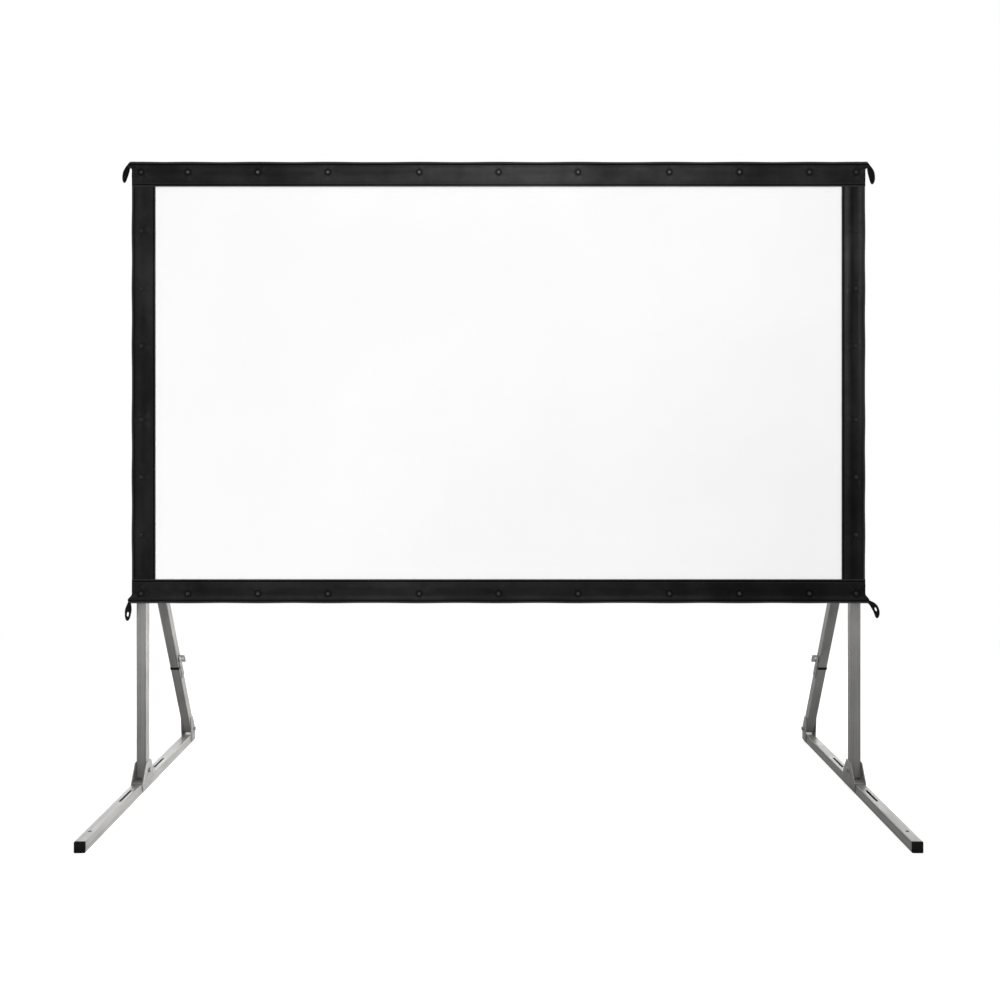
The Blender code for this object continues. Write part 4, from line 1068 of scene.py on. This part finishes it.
class SCREEN_OT_sheet(bpy.types.Operator):
    """Stretch the white cloth behind the border"""
    bl_idname = "screen.sheet"
    bl_label = "White cloth"

    def execute(self, context):
        sheet = cloth_grid("screen_cloth", *SHEET_QUADS)
        places = []
        for vertex in sheet.data.vertices:
            x = 2 * vertex.co.x * SHEET_HALF[0]
            z = 2 * vertex.co.y * SHEET_HALF[1]
            edge = min(SHEET_HALF[0] - abs(x), SHEET_HALF[1] - abs(z))
            pull = noise.noise(Vector((x * 6.0, z * 6.0, 2.0))) * 0.5 + 0.5
            soft = noise.noise(Vector((x * 1.3, z * 1.3, 7.0))) * 0.5 + 0.5
            back = SHEET_PULL * pull * hill(edge, 0.05, 0.05)
            back += SHEET_SAG * soft * smoothstep(0.03, 0.20, edge)
            places.append((x, z))
            vertex.co = (x, SHEET_FRONT + back, CLOTH_MID + z)
        lay_pattern(sheet, places)
        thicken(sheet, context.scene.screen_cloth.sheet_thickness)
        wear(sheet, "screen", replaces=("projection_sheet",))
        return {"FINISHED"}


class SCREEN_OT_border(bpy.types.Operator):
    """Sew the four black border bands and press their snaps on"""
    bl_idname = "screen.border"
    bl_label = "Border and snaps"

    def execute(self, context):
        model = one_snap()
        for side in BANDS:
            band = border_band(side)
            snaps = [moved_copy(model, Matrix.Translation((x, 0, z)), "snap")
                     for x, z in snap_points(side)]
            row = join(snaps, "snaps_" + side)
            wear(row, None)
        bpy.data.objects.remove(model)
        return {"FINISHED"}


class SCREEN_OT_loops(bpy.types.Operator):
    """Sew the four webbing loops behind the corners"""
    bl_idname = "screen.loops"
    bl_label = "Webbing loops"

    def execute(self, context):
        for name in LOOPS:
            webbing_loop(name)
        return {"FINISHED"}


class SCREEN_OT_frame(bpy.types.Operator):
    """Finish the folding tube frame behind the cloth, with its elbows, hinges and latches"""
    bl_idname = "screen.frame"
    bl_label = "Folding frame"

    def execute(self, context):
        for row in ("top", "bottom"):
            for part in ("left", "middle", "right"):
                repaint(f"{row}_rail_{part}", "aluminium_x")
        for side in SIDES:
            for part in ("lower", "upper"):
                repaint(f"side_rail_{side}_{part}", "aluminium_z")
        for corner in LOOPS:
            fine_copy(f"corner_elbow_{corner}", "steel", 0.0008)
        for place in (*LOOPS, "side_left", "side_right"):
            fine_copy(f"fold_hinge_{place}", "steel", 0.0004)
            fine_copy(f"fold_latch_{place}", "steel", 0.0003)
        return {"FINISHED"}


def pin_nut():
    """A hexagon nut with a domed top on a washer, at the origin, facing +X."""
    radius = bpy.context.scene.screen_metal.nut_radius
    washer, nut = (turned_disc(sides, radius + more, depth, (0, math.pi / 2, 0), (along, 0, 0))
                   for sides, more, depth, along in (WASHER, NUT))
    turn_steps(nut, 0, 1, NUT_STEPS)
    break_edges(nut, NUT_BEVEL, 30)
    return join([washer, nut], "nut_model")


def place_nuts(model, side, places, name, body):
    """Nuts on the inner and outer pin heads of one leg."""
    nuts = []
    for y, z in places:
        for facing in (1, -1):
            turn = Matrix.Rotation(0 if facing > 0 else math.pi, 4, "Z")
            spot = Matrix.Translation((SIDES[side] * POST_X + facing * PIN_HEAD_OUT, y, z))
            nuts.append(moved_copy(model, spot @ turn, "nut"))
    row = join(nuts, name)
    soften(row)
    wear(row, "steel", body)


class SCREEN_OT_posts(bpy.types.Operator):
    """Finish the two upright posts, their caps, brackets and hand screws"""
    bl_idname = "screen.posts"
    bl_label = "Leg posts"

    def execute(self, context):
        model = pin_nut()
        for side in SIDES:
            repaint(f"leg_post_{side}", "aluminium_z")
            fine_copy(f"leg_post_cap_{side}", "plastic", 0.0006)
            fine_copy(f"brace_top_bracket_{side}", "steel")
            for place in ("lower", "upper"):
                fine_copy(f"leg_screw_{place}_{side}", "plastic")
            place_nuts(model, side, [BRACE_TOP], f"top_pin_nuts_{side}", ROOT)
        bpy.data.objects.remove(model)
        return {"FINISHED"}


class SCREEN_OT_feet(bpy.types.Operator):
    """Finish the two long feet, their caps, saddles and rear brackets"""
    bl_idname = "screen.feet"
    bl_label = "Feet"

    def execute(self, context):
        model = pin_nut()
        for side in SIDES:
            repaint(f"foot_tube_{side}", "aluminium_y")
            fine_copy(f"foot_cap_{side}", "plastic", 0.0012)
            fine_copy(f"foot_saddle_{side}", "steel", 0.0006)
            fine_copy(f"brace_foot_bracket_{side}", "steel", 0.0006)
            place_nuts(model, side, [FOOT_PIVOT, BRACE_FOOT], f"foot_pin_nuts_{side}",
                       NODES[f"foot_tube_{side}"]["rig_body"])
        bpy.data.objects.remove(model)
        return {"FINISHED"}


class SCREEN_OT_braces(bpy.types.Operator):
    """Finish the diagonal braces with their black sleeves and clamp knobs"""
    bl_idname = "screen.braces"
    bl_label = "Braces"

    def execute(self, context):
        for side in SIDES:
            repaint(f"brace_upper_{side}", "aluminium_brace")
            repaint(f"brace_lower_{side}", "aluminium_brace")
            fine_copy(f"brace_knob_{side}", "silver", 0.0012)
            self.sleeve(context, side)
        return {"FINISHED"}

    def sleeve(self, context, side):
        """Black end plug in a brace's cut, with a lip over the lower tube's three free sides."""
        metal = context.scene.screen_metal
        wall = metal.sleeve_wall
        sign = SIDES[side]
        deselect_all()
        bpy.ops.mesh.primitive_cube_add(size=1)
        plug = context.object
        plug.scale = (TUBE_SIDE + wall, TUBE_SIDE + 2 * wall, SLEEVE_DEPTH)
        bake_place(plug)
        select_faces(plug, lambda centre, normal: normal.z < -0.9)
        bpy.ops.mesh.inset(thickness=wall)
        bpy.ops.object.mode_set(mode="OBJECT")
        free_x = (TUBE_SIDE + wall) / 2 - wall
        free_y = TUBE_SIDE / 2
        select_faces(plug, lambda centre, normal: normal.z < -0.9 and (
            abs(centre.y) > free_y or centre.x > free_x))
        bpy.ops.mesh.extrude_region_move(
            TRANSFORM_OT_translate={"value": (0, 0, -metal.sleeve_height)})
        bpy.ops.object.mode_set(mode="OBJECT")
        break_edges(plug, SLEEVE_BEVEL, 40)
        if sign < 0:
            plug.data.transform(Matrix.Scale(-1, 4, (1, 0, 0)))
            edit_whole(plug, lambda: bpy.ops.mesh.normals_make_consistent(inside=False))
        place = Matrix.Translation((sign * (POST_X + wall / 2), *BRACE_CUT))
        tilt = Matrix.Rotation(math.atan2(-BRACE_UP[0], BRACE_UP[1]), 4, "X")
        plug.data.transform(place @ tilt)
        soften(call(plug, f"brace_sleeve_{side}"))
        wear(plug, "plastic", NODES[f"brace_lower_{side}"]["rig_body"])


def lamp(name, place, aim, size, power, spread):
    """A rectangular area lamp aimed at a point."""
    data = bpy.data.lights.new(name, "AREA")
    data.shape = "RECTANGLE"
    data.size, data.size_y = size
    data.energy = power * bpy.context.scene.screen_stage.lamp_scale
    data.spread = math.radians(spread)
    made = add_object(name, data)
    made.location = place
    made.rotation_euler = (Vector(aim) - Vector(place)).to_track_quat("-Z", "Y").to_euler()
    made.visible_camera = False


class SCREEN_OT_stage(bpy.types.Operator):
    """Set up the camera, the pale floor, the white background and the soft lamps"""
    bl_idname = "screen.stage"
    bl_label = "Studio"

    def execute(self, context):
        self.camera(context)
        self.floor(context)
        self.background(context)
        for values in LAMPS:
            lamp(*values)
        context.scene.view_settings.view_transform = "Standard"
        return {"FINISHED"}

    def camera(self, context):
        stage = context.scene.screen_stage
        data = bpy.data.cameras.new("photo_camera")
        data.lens = stage.camera_lens
        data.sensor_width = 36
        data.sensor_fit = "HORIZONTAL"
        data.shift_x, data.shift_y = CAMERA_SHIFT
        data.clip_end = 100
        camera = add_object("photo_camera", data)
        camera.location = (0, -stage.camera_distance, stage.camera_height)
        camera.rotation_euler = (math.pi / 2, 0, 0)
        context.scene.camera = camera

    def floor(self, context):
        """Grey to the light, near white to the eye, and white far from the screen."""
        deselect_all()
        bpy.ops.mesh.primitive_plane_add(size=context.scene.screen_stage.floor_size)
        floor = context.object
        floor.name = "studio_floor"
        material = bpy.data.materials.new("pale_floor")
        nodes = Nodes(material, "ShaderNodeOutputMaterial")
        grey = nodes.feed("ShaderNodeBsdfDiffuse",
                          {"Color": (FLOOR_GREY, FLOOR_GREY, FLOOR_GREY, 1)}).outputs["BSDF"]
        seen = nodes.node("ShaderNodeLightPath").outputs["Is Camera Ray"]
        glow = nodes.feed("ShaderNodeEmission",
                          {"Strength": nodes.math("MULTIPLY", seen, FLOOR_GLOW)})
        lit = nodes.feed("ShaderNodeAddShader", {0: grey, 1: glow.outputs["Emission"]})
        white = nodes.feed("ShaderNodeEmission", {"Strength": 1.0}).outputs["Emission"]
        place = nodes.node("ShaderNodeTexCoord").outputs["Object"]
        away = nodes.feed("ShaderNodeVectorMath", {0: place}, operation="LENGTH")
        far = nodes.rescale(away.outputs["Value"], *FLOOR_FADE, 0.0, 1.0)
        shown = nodes.mix(far, lit.outputs["Shader"], white)
        nodes.link(nodes.mix(nodes.seen_rays(), grey, shown), nodes.output.inputs["Surface"])
        floor.data.materials.append(material)

    def background(self, context):
        """White to the eye; as a light it is brighter from the right."""
        world = bpy.data.worlds.new("white_studio")
        context.scene.world = world
        nodes = Nodes(world, "ShaderNodeOutputWorld")
        way = nodes.node("ShaderNodeTexCoord").outputs["Generated"]
        lean = nodes.feed("ShaderNodeVectorMath", {0: way, 1: WORLD_LEAN},
                          operation="DOT_PRODUCT").outputs["Value"]
        light, white = (nodes.feed("ShaderNodeBackground",
                                   {"Color": (1, 1, 1, 1), "Strength": level}
                                   ).outputs["Background"]
                        for level in (nodes.math("ADD", lean, WORLD_LEVEL), 1.0))
        nodes.link(nodes.mix(nodes.seen_rays(), light, white), nodes.output.inputs["Surface"])


OPERATORS = (SCREEN_OT_sheet, SCREEN_OT_border, SCREEN_OT_loops, SCREEN_OT_frame,
             SCREEN_OT_posts, SCREEN_OT_feet, SCREEN_OT_braces, SCREEN_OT_stage)
SETTINGS = {"screen_cloth": ClothSettings, "screen_metal": MetalSettings,
            "screen_stage": StageSettings}


class SCREEN_PT_panel(bpy.types.Panel):
    """Lists the steps that dress the screen"""
    bl_idname = "SCREEN_PT_panel"
    bl_label = "Projection screen"
    bl_space_type = "VIEW_3D"
    bl_region_type = "UI"
    bl_category = "Screen"

    def draw(self, context):
        for operator in OPERATORS:
            self.layout.operator(operator.bl_idname)
        for name in SETTINGS:
            settings = getattr(context.scene, name)
            box = self.layout.box()
            for key in settings.__annotations__:
                box.prop(settings, key)


CLASSES = (*SETTINGS.values(), *OPERATORS, SCREEN_PT_panel)


def register():
    for cls in CLASSES:
        bpy.utils.register_class(cls)
    for name, cls in SETTINGS.items():
        setattr(bpy.types.Scene, name, PointerProperty(type=cls))


def unregister():
    for name in SETTINGS:
        delattr(bpy.types.Scene, name)
    for cls in reversed(CLASSES):
        bpy.utils.unregister_class(cls)


def main():
    register()
    for operator in OPERATORS:
        group, name = operator.bl_idname.split(".")
        getattr(getattr(bpy.ops, group), name)()
    deselect_all()


if __name__ == "__main__":
    main()
